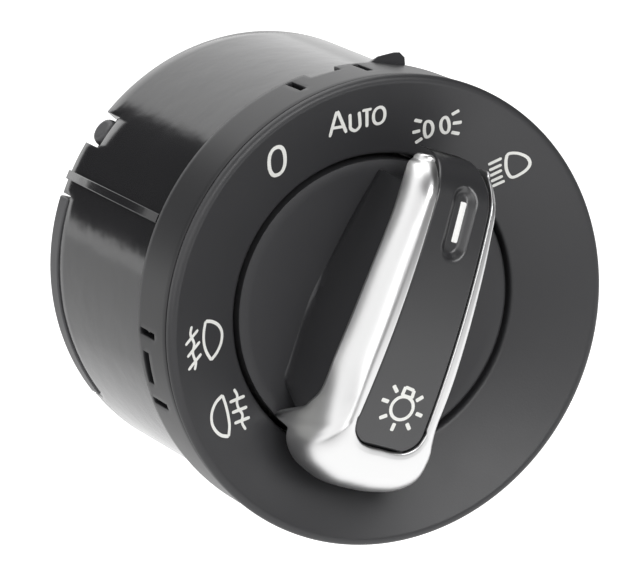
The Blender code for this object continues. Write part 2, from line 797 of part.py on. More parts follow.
def add_socket(cover):
    """The connector's well, open to the rear, with a slot for each terminal in its floor."""
    half_wide = SOCKET_WIDE / 2
    half_high = SOCKET_HIGH / 2
    floor_top = SOCKET_FLOOR_H + SOCKET_WALL
    shell = box(
        "socket_shell",
        (-half_wide - SOCKET_WALL, SOCKET_Y - half_high - SOCKET_WALL, COVER_FRONT_H - COVER_THICK / 2),
        (half_wide + SOCKET_WALL, SOCKET_Y + half_high + SOCKET_WALL, floor_top),
    )
    join(cover, shell)
    well = box(
        "socket_well",
        (-half_wide, SOCKET_Y - half_high, HOUSING_REAR_H - 2.0 * MM),
        (half_wide, SOCKET_Y + half_high, SOCKET_FLOOR_H),
    )
    cut(cover, well)
    for k, (x, y) in enumerate(terminal_places()):
        half = (TERMINAL_WIDE / 2 + SEAT_GAP, TERMINAL_THICK / 2 + SEAT_GAP)
        slot = box(
            f"terminal_slot_{k}",
            (x - half[0], y - half[1], SOCKET_FLOOR_H - 1.0 * MM),
            (x + half[0], y + half[1], floor_top + 1.0 * MM),
        )
        cut(cover, slot)


def terminal_places():
    """Front-view places of the terminals, row by row."""
    middle = (TERMINAL_COLUMNS - 1) / 2
    return [
        ((column - middle) * TERMINAL_PITCH, SOCKET_Y + row * TERMINAL_ROW_GAP / 2)
        for row in (1, -1)
        for column in range(TERMINAL_COLUMNS)
    ]


def make_terminals():
    """Flat blades from the board into the socket."""
    for k, (x, y) in enumerate(terminal_places()):
        box(
            f"terminal_{k + 1:02d}",
            (x - TERMINAL_WIDE / 2, y - TERMINAL_THICK / 2, SOCKET_FLOOR_H - TERMINAL_OUT),
            (x + TERMINAL_WIDE / 2, y + TERMINAL_THICK / 2, BOARD_REAR_H - SEAT_GAP),
            TINNED_BRASS,
        )


def make_circuit_board():
    """Round board with a hole for the stem."""
    board_r = HOUSING_R - HOUSING_DRAFT - HOUSING_WALL - BOARD_EDGE_GAP
    outline = [
        (board_r, BOARD_H),
        (board_r, BOARD_REAR_H),
        (BOARD_HOLE_R, BOARD_REAR_H),
        (BOARD_HOLE_R, BOARD_H),
    ]
    return turned("circuit_board", outline, BOARD_GREEN, steps=40)


def make_symbol_leds():
    """Lamps on the board, under the legs of the light guide."""
    for k, angle in enumerate(LED_ANGLES):
        foot = BOARD_H + SEAT_GAP
        box(
            f"symbol_led_{k + 1}",
            (-LED_WIDE / 2, LED_RING_R - LED_DEEP / 2, foot),
            (LED_WIDE / 2, LED_RING_R + LED_DEEP / 2, foot + LED_TALL),
            WHITE_DIFFUSER,
            angle=angle,
        )


def make_light_guide():
    """Clear ring close behind the bezel's face, with a leg down to each lamp."""
    under = BEZEL_WALL + SEAT_GAP + 0.2 * MM
    outline = [
        (GUIDE_OUT_R, bezel_face(GUIDE_OUT_R) - under),
        (GUIDE_OUT_R, GUIDE_REAR_H),
        (GUIDE_IN_R, GUIDE_REAR_H),
        (GUIDE_IN_R, bezel_face(GUIDE_IN_R) - under),
    ]
    guide = turned("light_guide", outline, CLEAR_GUIDE, steps=40)
    foot = BOARD_H + SEAT_GAP + LED_TALL + SEAT_GAP
    for k, angle in enumerate(LED_ANGLES):
        leg = rod(
            f"guide_leg_{k}",
            GUIDE_LEG_R,
            foot,
            GUIDE_REAR_H + 1.0 * MM,
            on_circle(LED_RING_R, angle),
        )
        join(guide, leg)
    return guide


def grip_top(v):
    """Height of the grip's crowned top along its length, rolling down at the pointer's nose."""
    height = GRIP_TOP_H - GRIP_CROWN_SAG * ((v - GRIP_CROWN_V) / GRIP_REACH) ** 2
    past = min(max(v - NOSE_START_V, 0.0) / NOSE_LONG, 1.0)
    return height - NOSE_DROP * (1.0 - sqrt(1.0 - past * past))


def insert_half(v):
    """Half the insert's width along the grip, without the rounding of its bulb end."""
    share = (v - INSERT_BULB_V) / (INSERT_NOSE_V - INSERT_BULB_V)
    return INSERT_BULB_HALF + (INSERT_NOSE_HALF - INSERT_BULB_HALF) * share


def smooth(points, parts):
    """More points on a smooth curve through these ones."""
    rows = [Vector(p) for p in points]
    ends = [rows[0] * 2 - rows[1]] + rows + [rows[-1] * 2 - rows[-2]]
    out = []
    for k in range(len(rows) - 1):
        a, b, c, d = ends[k : k + 4]
        for step in range(parts):
            t = step / parts
            bend = (a * -1 + b * 3 - c * 3 + d) * t**3
            sag = (a * 2 - b * 5 + c * 4 - d) * t**2
            out.append((b * 2 + (c - a) * t + sag + bend) / 2)
    return out + [rows[-1]]


def trim_inner_edge():
    """The trim's edge round the insert, from the bow's middle to the pointer's nose."""
    radius = INSERT_CORNER_R + SEAT_GAP
    centre_u = insert_half(INSERT_BULB_V) - INSERT_CORNER_R
    centre_v = INSERT_BULB_V + INSERT_CORNER_R
    bow = [(0.0, centre_v - radius)]
    bow += arc((centre_u, centre_v), radius, -90, 0, 3)
    leg_v = [-14.2, -13.0, -11.6, -9.8, -5.8, 0.0, 8.0, 15.0, 19.5, 22.2, 23.9]
    legs = [(insert_half(v * MM) + SEAT_GAP, v * MM) for v in leg_v]
    return bow + legs


# The trim's lower edge, in step with its inner edge: across as a share of the grip's half width,
# along as a share of the bow's reach, and height as a share of the way up from the disc. It is the
# bow that hangs over the bezel, the foot on the disc, then the leg to the pointer's nose.
TRIM_LOWER_EDGE = [
    (0.0, -1.0, 0.31),
    (0.236, -0.992, 0.31),
    (0.536, -0.954, 0.31),
    (0.782, -0.873, 0.31),
    (0.918, -0.781, 0.31),
    (0.964, -0.712, 0.0),
    (0.991, -0.631, 0.0),
    (1.0, -0.554, 0.33),
    (0.973, -0.446, 0.59),
    (0.936, -0.25, 0.635),
    (0.882, 0.0, 0.655),
    (0.818, 0.308, 0.67),
    (0.745, 0.577, 0.66),
    (0.673, 0.754, 0.62),
    (0.582, 0.869, 0.63),
    (0.473, 0.935, 0.72),
]
TRIM_FOOT_STEP = 6

# Where the grip's dark flank meets the disc, in the same steps and shares.
GRIP_FOOT = [
    (0.0, -0.781),
    (0.236, -0.777),
    (0.491, -0.738),
    (0.655, -0.685),
    (0.727, -0.646),
    (0.773, -0.615),
    (0.809, -0.577),
    (0.9, -0.515),
    (0.918, -0.438),
    (0.9, -0.25),
    (0.827, 0.0),
    (0.718, 0.308),
    (0.627, 0.577),
    (0.555, 0.754),
]


def lower_edge():
    """The trim's lower edge in metres, smoothed, and never lower than its seat on the disc."""
    seat = KNOB_FACE_H + SEAT_GAP
    points = []
    for across, along, up in TRIM_LOWER_EDGE:
        v = along * GRIP_REACH
        points.append((across * GRIP_HALF, v, seat + up * (grip_top(v) - seat)))
    curve = smooth(points, 2)
    return [Vector((p.x, p.y, max(p.z, seat))) for p in curve]


def grip_feet():
    """The grip's foot on the disc in metres, smoothed."""
    return smooth([(across * GRIP_HALF, along * GRIP_REACH, 0.0) for across, along in GRIP_FOOT], 2)


def rounded_flank(ridge, edge, top, foot, count):
    """Points that leave a ridge level and reach an edge going straight down."""
    out = []
    for k in range(1, count + 1):
        turn = pi / 2 * k / count
        flat = ridge + (edge - ridge) * sin(turn)
        out.append(Vector((flat.x, flat.y, top - (top - foot) * (1.0 - cos(turn)))))
    return out


def bridge(shape, rows, wrap):
    """Quads between rows of points; wrap also joins each row's last point to its first."""
    grid = [[shape.verts.new(point) for point in row] for row in rows]
    width = len(grid[0])
    for lower, upper in zip(grid, grid[1:]):
        for k in range(width if wrap else width - 1):
            after = (k + 1) % width
            shape.faces.new((lower[k], lower[after], upper[after], upper[k]))
    return grid


def mirrored(name, mesh, finish, parent):
    """A piece whose half is mirrored across the grip's middle plane."""
    thing = placed(name, mesh, finish, parent)
    mirror = thing.modifiers.new("other_half", "MIRROR")
    mirror.use_axis = (True, False, False)
    mirror.merge_threshold = SCREW_MERGE
    return thing


def make_knob_trim():
    """Bright U round the insert: a loft that ends at the tips and is mirrored at the bow."""
    inner = smooth([(*p, 0.0) for p in trim_inner_edge()], 2)
    rows = [trim_section(inside, low) for inside, low in zip(inner, lower_edge())]

    def build(shape):
        grid = bridge(shape, rows, True)
        shape.faces.new(grid[-1])
        bmesh.ops.recalc_face_normals(shape, faces=shape.faces)

    return mirrored("knob_trim", mesh_from("knob_trim", build), SATIN_CHROME, KNOB_AXIS)


def trim_section(inside, low):
    """One closed section of the trim, from its inner edge over the ridge to its lower edge."""
    inside = Vector((inside.x, inside.y))
    edge = Vector((low.x, low.y))
    away = (edge - inside).normalized()
    span = (edge - inside).length
    top = grip_top(inside.y)
    foot = min(low.z, top - TRIM_THICK)
    ridge = inside + away * min(TRIM_RIDGE, span / 3)
    edge_in = inside + away * max(span - TRIM_THICK, span * 0.6)
    section = [Vector((*inside, top - TRIM_THICK)), Vector((*inside, top - TRIM_THICK / 4))]
    section.append(Vector((*ridge, top)))
    section += rounded_flank(ridge, edge, top, foot, 6)
    under = rounded_flank(ridge, edge_in, top - TRIM_THICK, foot, 4)
    return section + under[::-1]


def make_knob_insert():
    """Dark strip let into the trim, rolled down at the nose, with the pointer's groove."""
    stations = [INSERT_BULB_V + INSERT_CORNER_R * (1 - cos(radians(a))) for a in (0, 30, 60, 90)]
    count = 10
    straight = NOSE_START_V - stations[-1]
    stations += [stations[-1] + straight * (k + 1) / count for k in range(count)]
    stations += [NOSE_START_V + NOSE_LONG * sin(radians(a)) for a in (20, 40, 57, 72)]

    def build(shape):
        rows = []
        for v in stations:
            half = insert_half(v)
            short = INSERT_BULB_V + INSERT_CORNER_R - v
            if short > 0:
                half -= INSERT_CORNER_R - sqrt(max(INSERT_CORNER_R**2 - short**2, 0.0))
            top = grip_top(v) - INSERT_SUNK
            rows.append([Vector((half * share, v, top)) for share in (-1.0, -0.5, 0.0, 0.5, 1.0)])
        rows.append([Vector((p.x, INSERT_NOSE_V, INSERT_NOSE_H)) for p in rows[-1]])
        bridge(shape, rows, False)

    thing = placed("knob_insert", mesh_from("knob_insert", build), MATT_BLACK, KNOB_AXIS)
    wall = thing.modifiers.new("wall", "SOLIDIFY")
    wall.thickness = INSERT_THICK
    wall.offset = -1.0
    wall.use_even_offset = True
    cut(thing, pointer_groove(), pointer_hole("pointer_hole"))
    return thing


def pointer_groove():
    """Round-ended groove round the pointer."""
    half = GROOVE_WIDE / 2
    straight = (GROOVE_LONG - GROOVE_WIDE) / 2
    outline = arc((0.0, POINTER_V + straight), half, 0, 180, 8)
    outline += arc((0.0, POINTER_V - straight), half, 180, 360, 8)
    floor = pointer_top()
    return plate("pointer_groove", [outline], floor, floor + 4.0 * MM, parent=KNOB_AXIS)


def pointer_top():
    """Height of the pointer window's face, level with the groove's floor."""
    return grip_top(POINTER_V) - INSERT_SUNK - GROOVE_DEEP


def pointer_hole(name):
    """The slot that the pointer window stands in."""
    half_wide = POINTER_WIDE / 2 + SEAT_GAP
    half_long = POINTER_LONG / 2 + SEAT_GAP
    return box(
        name,
        (-half_wide, POINTER_V - half_long, pointer_top() - POINTER_TALL - SEAT_GAP),
        (half_wide, POINTER_V + half_long, grip_top(POINTER_V) + 1.0 * MM),
        parent=KNOB_AXIS,
    )


def make_pointer_window():
    """White bar that shows the knob's place, lit from inside the grip."""
    top = pointer_top()
    return box(
        "pointer_window",
        (-POINTER_WIDE / 2, POINTER_V - POINTER_LONG / 2, top - POINTER_TALL),
        (POINTER_WIDE / 2, POINTER_V + POINTER_LONG / 2, top),
        WHITE_DIFFUSER,
        KNOB_AXIS,
    )


def grip_core():
    """The dark grip under the trim and the insert, as a half that is mirrored."""
    inner = smooth([(*p, 0.0) for p in trim_inner_edge()], 2)
    sink = KNOB_FACE_H - KNOB_FACE_THICK / 2
    rows = []
    for k, (inside, low, foot) in enumerate(zip(inner, lower_edge(), grip_feet())):
        rows.append(core_section(inside, low, foot, sink, k > 2 * TRIM_FOOT_STEP))

    def build(shape):
        grid = bridge(shape, rows, False)
        nose_foot = shape.verts.new((0.0, rows[-1][0].y, sink))
        bow_foot = shape.verts.new((0.0, rows[0][-1].y, sink))
        shape.faces.new(grid[-1] + [nose_foot])
        base = [row[-1] for row in grid] + [nose_foot, bow_foot]
        bmesh.ops.remove_doubles(shape, verts=shape.verts, dist=SCREW_MERGE)
        shape.faces.new([vert for vert in base if vert.is_valid])
        bmesh.ops.recalc_face_normals(shape, faces=shape.faces)

    return mirrored("grip_core", mesh_from("grip_core", build), None, KNOB_AXIS)


def core_section(inside, low, foot, sink, has_flank):
    """One section of the core, from the middle plane to the disc; the leg's sections have a flank."""
    inside = Vector((inside.x, inside.y))
    edge = Vector((low.x, low.y))
    foot = Vector((foot.x, foot.y))
    away = (edge - inside).normalized()
    top = grip_top(inside.y) - INSERT_SUNK - INSERT_THICK - SEAT_GAP
    middle_v = max(inside.y, INSERT_BULB_V + INSERT_CORNER_R)
    ledge = low.z - SEAT_GAP
    reach = edge - away * (TRIM_THICK + SEAT_GAP)
    lip = edge - away * SEAT_GAP / 2
    if not has_flank:
        ledge = sink + 0.5 * MM
        reach = foot
        lip = foot
    ridge = inside + away * min(TRIM_RIDGE, (reach - inside).length / 2)
    middle_top = grip_top(middle_v) - (grip_top(inside.y) - top)
    section = [Vector((0.0, middle_v, middle_top)), Vector((*inside, top)), Vector((*ridge, top))]
    section += rounded_flank(ridge, reach, top, ledge, 4)
    section.append(Vector((*lip, ledge if has_flank else ledge - 0.2 * MM)))
    section.append(Vector((*foot, sink)))
    return section


def make_knob_body():
    """Dished disc, skirt, splined stem and grip core in one moulding."""
    skirt_end = KNOB_FACE_H - KNOB_SKIRT_DEPTH
    back = KNOB_FACE_H - KNOB_FACE_THICK
    edge = 0.35 * MM
    outline = []
    for ring in range(DISH_RINGS + 1):
        share = ring / DISH_RINGS
        outline.append((KNOB_DISH_R * share, KNOB_FACE_H - KNOB_DISH * (1.0 - share**2)))
    outline += [
        (KNOB_R - edge, KNOB_FACE_H),
        (KNOB_R, KNOB_FACE_H - edge),
        (KNOB_R, skirt_end),
        (KNOB_R - KNOB_SKIRT_WALL, skirt_end),
        (KNOB_R - KNOB_SKIRT_WALL, back),
        (0.0, back),
    ]
    knob = turned("knob_body", outline, MATT_BLACK, KNOB_AXIS)
    stem_outline = [
        (0.0, back + KNOB_FACE_THICK / 2),
        (STEM_R, back + KNOB_FACE_THICK / 2),
        (STEM_R, NECK_FRONT_H),
        (NECK_R, NECK_FRONT_H),
        (NECK_R, NECK_REAR_H),
        (STEM_R, NECK_REAR_H),
        (STEM_R, STEM_END_H),
        (0.0, STEM_END_H),
    ]
    join(knob, turned("knob_stem", stem_outline, parent=KNOB_AXIS, steps=24))
    for k in range(KEY_COUNT):
        key = box(
            f"stem_key_{k}",
            (-KEY_WIDE / 2, STEM_R - 1.0 * MM, KEY_REAR_H),
            (KEY_WIDE / 2, KEY_R, KEY_FRONT_H),
            parent=KNOB_AXIS,
            angle=360.0 / KEY_COUNT * k,
        )
        join(knob, key)
    join(knob, grip_core())
    cut(knob, pointer_hole("pointer_pocket"))
    return knob


def make_rotor():
    """Sleeve that turns in the housing's bearing and lets the stem slide."""
    bore = STEM_R + SLIDE_GAP
    lip_rear = PLATE_H + SLIDE_GAP
    lip_front = lip_rear + ROTOR_LIP_THICK
    tail = ROTOR_FLANGE_REAR_H - ROTOR_TAIL
    outline = [
        (ROTOR_JOURNAL_R, lip_front),
        (ROTOR_LIP_R, lip_rear + ROTOR_LIP_THICK / 3),
        (ROTOR_LIP_R, lip_rear),
        (ROTOR_JOURNAL_R, lip_rear),
        (ROTOR_JOURNAL_R, ROTOR_FLANGE_H),
        (ROTOR_FLANGE_R, ROTOR_FLANGE_H),
        (ROTOR_FLANGE_R, ROTOR_FLANGE_REAR_H),
        (ROTOR_JOURNAL_R, ROTOR_FLANGE_REAR_H),
        (ROTOR_JOURNAL_R, tail),
        (bore, tail),
        (bore, lip_front),
    ]
    rotor = turned("rotor", outline, NATURAL_ACETAL, ROTOR_AXIS, steps=40)
    boss_top = PLATE_REAR_H - SLIDE_GAP
    boss = box(
        "plunger_boss",
        (-PLUNGER_BOSS_HALF, COLLAR_R + SLIDE_GAP, ROTOR_FLANGE_H - 1.0 * MM),
        (PLUNGER_BOSS_HALF, PLUNGER_TIP_R - 1.2 * MM, boss_top),
        parent=PLUNGER_AXIS,
    )
    join(rotor, boss)
    bore_floor = COLLAR_R + SLIDE_GAP + PLUNGER_BOSS_WALL
    plunger_bore = radial_rod(
        "plunger_bore",
        PLUNGER_R + SLIDE_GAP,
        bore_floor,
        ROTOR_FLANGE_R + 5.0 * MM,
        PLUNGER_H,
        parent=PLUNGER_AXIS,
    )
    cut(rotor, plunger_bore)
    for k in range(KEY_COUNT):
        keyway = box(
            f"keyway_{k}",
            (-KEY_WIDE / 2 - SLIDE_GAP, 0.0, tail - 1.0 * MM),
            (KEY_WIDE / 2 + SLIDE_GAP, KEY_R + SLIDE_GAP, lip_front + 1.0 * MM),
            parent=KNOB_AXIS,
            angle=360.0 / KEY_COUNT * k,
        )
        cut(rotor, keyway)
    for k in range(LIP_SLOTS):
        slot = box(
            f"lip_slot_{k}",
            (-LIP_SLOT_WIDE / 2, STEM_R, PLATE_REAR_H),
            (LIP_SLOT_WIDE / 2, ROTOR_LIP_R + 1.0 * MM, lip_front + 1.0 * MM),
            parent=KNOB_AXIS,
            angle=45.0 + 90.0 * k,
        )
        cut(rotor, slot)
    return rotor


def make_detent_ring():
    """Ring in the housing's cage, with a hollow for each place of the knob."""
    outer = DETENT_R + DETENT_RING_WALL
    front = PLATE_REAR_H - SEAT_GAP
    outline = [
        (outer, front),
        (outer, front - DETENT_RING_LONG),
        (DETENT_R, front - DETENT_RING_LONG),
        (DETENT_R, front),
    ]
    ring = turned("detent_ring", outline, NATURAL_ACETAL)
    hollow_r = PLUNGER_R + DETENT_DEEP
    for k in range(-DETENTS_BELOW, DETENTS_ABOVE + 1):
        angle = DETENT_ANGLE + DETENT_STEP * k
        hollow = rod(
            f"detent_hollow_{k}",
            hollow_r,
            front - DETENT_RING_LONG - 1.0 * MM,
            front + 1.0 * MM,
            on_circle(DETENT_R + DETENT_DEEP - hollow_r, angle),
        )
        cut(ring, hollow)
    return ring


def make_detent_plunger():
    """Pin with a round nose that springs into the hollows."""
    tail = PLUNGER_R - PLUNGER_LONG
    outline = [(0.0, PLUNGER_R)] + arc((0.0, 0.0), PLUNGER_R, 67.5, 0, 3)
    outline += [(PLUNGER_R, tail), (0.0, tail)]
    pin = turned("detent_plunger", outline, SPRING_STEEL, PLUNGER_AXIS, steps=16)
    place = Matrix.Translation((0.0, PLUNGER_TIP_R - PLUNGER_R, PLUNGER_H))
    pin.matrix_local = place @ Matrix.Rotation(-pi / 2, 4, "X")
    return pin


def make_detent_spring():
    """Coil behind the plunger, in the rotor's boss."""
    start = COLLAR_R + SLIDE_GAP + PLUNGER_BOSS_WALL + SEAT_GAP
    end = PLUNGER_BACK_R - SEAT_GAP
    place = Matrix.Translation((0.0, 0.0, PLUNGER_H)) @ Matrix.Rotation(-pi / 2, 4, "X")
    return coil(
        "detent_spring", DETENT_COIL_R, DETENT_WIRE, 3, start, end, place, SPRING_STEEL, PLUNGER_AXIS
    )


def make_wiper_contact():
    """Stamped ring under the rotor's flange, with fingers bent towards the board."""
    front = ROTOR_FLANGE_REAR_H - SEAT_GAP
    rear = front - WIPER_THICK
    outline = [
        (WIPER_OUT_R, front),
        (WIPER_OUT_R, rear),
        (WIPER_IN_R, rear),
        (WIPER_IN_R, front),
    ]
    wiper = turned("wiper_contact", outline, TINNED_BRASS, ROTOR_AXIS, steps=32)
    reach = rear - (BOARD_H + SEAT_GAP)
    slope = asin(reach / WIPER_FINGER_LONG)
    for k in range(WIPER_FINGERS):
        place = Matrix.Rotation(slope, 4, "Y")
        middle_r = (WIPER_IN_R + WIPER_OUT_R) / 2
        middle_h = (front + BOARD_H + SEAT_GAP) / 2 + WIPER_THICK / 3
        finger = box(
            f"wiper_finger_{k}",
            (-WIPER_FINGER_LONG / 2, middle_r - WIPER_FINGER_WIDE / 2, middle_h - WIPER_THICK / 2),
            (WIPER_FINGER_LONG / 2, middle_r + WIPER_FINGER_WIDE / 2, middle_h + WIPER_THICK / 2),
            parent=ROTOR_AXIS,
            angle=360.0 / WIPER_FINGERS * k,
            tilt=place,
        )
        join(wiper, finger)
    return wiper


def make_release_ring():
    """Flat ring round the knob's skirt, with an ear and a slanted slot for each latch's pin."""
    slot_end_r = LATCH_PIN_RING_R - LATCH_TRAVEL
    side_wall = (RELEASE_SLOT_HALF + RELEASE_EAR_WALL) / slot_end_r * 180 / pi
    half_ear = RELEASE_TURN / 2 + side_wall
    ears = sorted((angle - RELEASE_TURN / 2) % 360.0 for angle in LATCH_ANGLES.values())
    outline = []
    for ear, after in zip(ears, ears[1:] + [ears[0] + 360.0]):
        outline += clock_arc(RELEASE_EAR_R, ear - half_ear, ear + half_ear, 6)
        outline += clock_arc(RELEASE_BORE_R + RELEASE_WALL, ear + half_ear, after - half_ear, 20)
    bore = clock_arc(RELEASE_BORE_R, 0.0, 360.0, 40)[:-1]
    holes = [bore]
    for angle in LATCH_ANGLES.values():
        outer = Vector(on_circle(LATCH_PIN_RING_R, angle))
        inner = Vector(on_circle(slot_end_r, angle - RELEASE_TURN))
        holes.append(round_ended(outer, inner, RELEASE_SLOT_HALF))
    return plate(
        "release_ring", [outline, *holes], RELEASE_REAR_H, RELEASE_FRONT_H, NATURAL_ACETAL
    )


def round_ended(first, last, half):
    """Outline of a slot with round ends between two points."""
    along = last - first
    heading = atan2(along.y, along.x) * 180 / pi
    outline = arc(last, half, heading - 90, heading + 90, 8)
    return outline + arc(first, half, heading + 90, heading + 270, 8)


def make_latch(side):
    """Sliding latch: a nose through the housing's wall, a spring pocket, and an arm with a pin."""
    axis = LATCH_AXES[side]
    tip = LATCH_TIP_R
    body_outline = [
        (-LATCH_HALF, LATCH_SHOULDER_R),
        (LATCH_HALF, LATCH_SHOULDER_R),
        (LATCH_HALF, tip - 1.9 * MM),
        (LATCH_HALF - 0.3 * MM, tip - 0.7 * MM),
        (LATCH_HALF - 1.3 * MM, tip),
        (LATCH_HALF - 2.3 * MM, tip - 0.1 * MM),
        (-LATCH_HALF + 1.2 * MM, tip - 0.9 * MM),
        (-LATCH_HALF + 0.2 * MM, tip - 1.9 * MM),
        (-LATCH_HALF, tip - 2.4 * MM),
    ]
    latch = plate(
        f"latch_{side}", [body_outline], RELEASE_REAR_H, LATCH_FRONT_H, SATIN_BLACK, axis
    )
    # The nose slopes down towards the rear, the side that goes into the dash first.
    for vert in latch.data.vertices:
        proud = vert.co.y - HOUSING_R
        if proud > 0.0 and vert.co.z < LATCH_FRONT_H - LATCH_THICK / 2:
            vert.co.y = HOUSING_R + proud * LATCH_RAMP_SHARE
    arm = box(
        f"latch_arm_{side}",
        (-LATCH_ARM_HALF, LATCH_PIN_RING_R - LATCH_PIN_R - LATCH_ARM_END, RELEASE_FRONT_H + SLIDE_GAP),
        (LATCH_ARM_HALF, LATCH_SHOULDER_R + 0.6 * MM, LATCH_FRONT_H),
        parent=axis,
    )
    pin = rod(
        f"latch_pin_{side}",
        LATCH_PIN_R,
        RELEASE_REAR_H,
        LATCH_FRONT_H - 0.6 * MM,
        (0.0, LATCH_PIN_RING_R),
        parent=axis,
        steps=12,
    )
    join(latch, arm, pin)
    pocket = box(
        f"latch_pocket_{side}",
        (-LATCH_POCKET_HALF, LATCH_POST_IN_R - SLIDE_GAP, RELEASE_REAR_H - 1.0 * MM),
        (LATCH_POCKET_HALF, LATCH_POCKET_OUT_R, LATCH_FRONT_H + 1.0 * MM),
        parent=axis,
    )
    cut(latch, pocket)
    return latch


def make_latch_spring(side):
    """Coil between the housing's post and the outer end of the latch's pocket."""
    start = LATCH_POST_OUT_R + SEAT_GAP
    end = LATCH_POCKET_OUT_R - SEAT_GAP
    height = RELEASE_REAR_H + LATCH_THICK / 2
    place = Matrix.Translation((0.0, 0.0, height)) @ Matrix.Rotation(-pi / 2, 4, "X")
    return coil(
        f"latch_spring_{side}",
        LATCH_COIL_R,
        LATCH_WIRE,
        4,
        start,
        end,
        place,
        SPRING_STEEL,
        LATCH_AXES[side],
    )


def make_fog_slider():
    """Fork on the stem's neck, kept from turning by the cover's post."""
    gap = NECK_R + SLIDE_GAP
    outline = [(-FOG_HALF, FOG_FOOT_Y), (-gap, FOG_FOOT_Y)]
    outline += arc((0.0, 0.0), gap, 180, 0, 12)
    outline += [(gap, FOG_FOOT_Y), (FOG_HALF, FOG_FOOT_Y), (FOG_HALF, FOG_TOP_Y), (-FOG_HALF, FOG_TOP_Y)]
    hole = arc((0.0, GUIDE_POST_Y), GUIDE_POST_R + SLIDE_GAP, 0, 337.5, 15)
    return plate(
        "fog_slider",
        [outline, hole],
        FOG_FRONT_H - FOG_THICK,
        FOG_FRONT_H,
        NATURAL_ACETAL,
    )


def make_fog_contacts():
    """Contact card beside the slider, and the wiper that the slider carries."""
    box(
        "fog_contact_card",
        (FOG_CARD_X, FOG_CARD_LOW_Y, COVER_FRONT_H + SEAT_GAP),
        (FOG_CARD_X + FOG_CARD_THICK, FOG_CARD_HIGH_Y, BOARD_REAR_H - SEAT_GAP),
        BOARD_GREEN,
    )
    near = FOG_HALF + SEAT_GAP
    middle = (FOG_CARD_LOW_Y + FOG_CARD_HIGH_Y) / 2
    box(
        "fog_wiper",
        (near, middle - 3.0 * MM, FOG_FRONT_H - FOG_THICK),
        (near + FOG_WIPER_THICK, middle + 3.0 * MM, FOG_FRONT_H),
        TINNED_BRASS,
    )


def make_return_spring():
    """Coil between the cover and the slider, which brings a pushed knob back."""
    start = COVER_FRONT_H + SEAT_GAP
    end = FOG_FRONT_H - FOG_THICK - SEAT_GAP
    return coil(
        "knob_return_spring",
        RETURN_COIL_R,
        RETURN_WIRE,
        RETURN_TURNS,
        start,
        end,
        Matrix(),
        SPRING_STEEL,
        FRONT_VIEW,
    )


make_bezel()
make_mounting_ring()
make_housing()
make_rear_cover()
make_terminals()
make_circuit_board()
make_symbol_leds()
make_light_guide()
make_knob_body()
make_knob_trim()
make_knob_insert()
make_pointer_window()
make_rotor()
make_wiper_contact()
make_detent_ring()
make_detent_plunger()
make_detent_spring()
make_release_ring()
for latch_side in LATCH_ANGLES:
    make_latch(latch_side)
    make_latch_spring(latch_side)
make_fog_slider()
make_fog_contacts()
make_return_spring()
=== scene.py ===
"""Round headlight switch of a car's dash, dressed for a picture.

Places are worked out in a front view, as the driver sees the switch: right, up, and out towards
the driver from the plane where the mounting ring meets the dash. Angles round the axis are
clockwise from the top.
"""

import bmesh
import bpy
import numpy as np
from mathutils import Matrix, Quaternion, Vector


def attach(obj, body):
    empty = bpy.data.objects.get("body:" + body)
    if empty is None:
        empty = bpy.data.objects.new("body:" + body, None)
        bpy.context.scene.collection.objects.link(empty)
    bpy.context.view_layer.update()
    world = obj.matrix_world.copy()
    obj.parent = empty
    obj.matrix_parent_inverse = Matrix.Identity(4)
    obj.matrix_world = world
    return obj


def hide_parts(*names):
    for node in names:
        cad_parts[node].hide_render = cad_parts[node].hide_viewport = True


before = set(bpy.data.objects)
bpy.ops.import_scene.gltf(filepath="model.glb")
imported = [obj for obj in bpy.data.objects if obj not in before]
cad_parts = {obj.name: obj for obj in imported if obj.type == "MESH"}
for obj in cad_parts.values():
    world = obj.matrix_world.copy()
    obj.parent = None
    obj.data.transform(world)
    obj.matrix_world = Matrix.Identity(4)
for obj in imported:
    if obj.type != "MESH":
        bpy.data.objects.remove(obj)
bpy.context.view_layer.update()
MM = 0.001


# Camera: a long lens from the driver's left and a little above, about 0.95 m away, which draws the
# rim's and the disc's ellipses as the photograph has them.


def add_object(name, data):
    """A new object in the scene, at the origin."""
    thing = bpy.data.objects.new(name, data)
    bpy.context.scene.collection.objects.link(thing)
    return thing


camera = add_object("camera", bpy.data.cameras.new("camera"))
bpy.context.scene.camera = camera
camera.data.lens = 369.186
camera.location = (-0.3638317, -0.8324991, 0.3021795)
AIM = Vector((-0.008398, -0.006, 0.005647))
CAMERA_ROLL = -9.726274
camera.rotation_mode = "QUATERNION"
look = (AIM - camera.location).to_track_quat("-Z", "Y")
camera.rotation_quaternion = look @ Quaternion((0.0, 0.0, 1.0), np.radians(CAMERA_ROLL))
bpy.context.scene.view_settings.view_transform = "Standard"


# Studio: a pale sheet well below the switch, which hangs by its mount, and soft boxes in front.
# The surroundings are white behind and on the left, and dark in front and on the right. A dark flag
# behind on the left gives the glossy can its dark band.


def linear(colour):
    """sRGB hex to linear: below 0.04045 about a thirteenth, above it a power of 2.4."""
    value = np.array([int(colour[k : k + 2], 16) for k in (1, 3, 5)]) / 255.0
    low = value / 12.92
    high = ((value + 0.055) / 1.055) ** 2.4
    return (*np.where(value <= 0.04045, low, high), 1.0)


def add_node(tree, kind, settings=(), **links):
    """One node with its settings, by attribute or socket, and its links, by socket."""
    node = tree.nodes.new(kind)
    for key, value in dict(settings).items():
        if isinstance(key, str) and hasattr(node, key):
            setattr(node, key, value)
        else:
            node.inputs[key].default_value = value
    for key, source in links.items():
        socket = int(key[1:]) if key[0] == "i" and key[1:].isdigit() else key.replace("_", " ")
        tree.links.new(source, node.inputs[socket])
    return node


def soft_step(low, high, start, end):
    """A Map Range node's settings: start below low, end above high, and 3s^2 - 2s^3 between."""
    ends = {"From Min": low, "From Max": high, "To Min": start, "To Max": end}
    return {"interpolation_type": "SMOOTHSTEP", **ends}


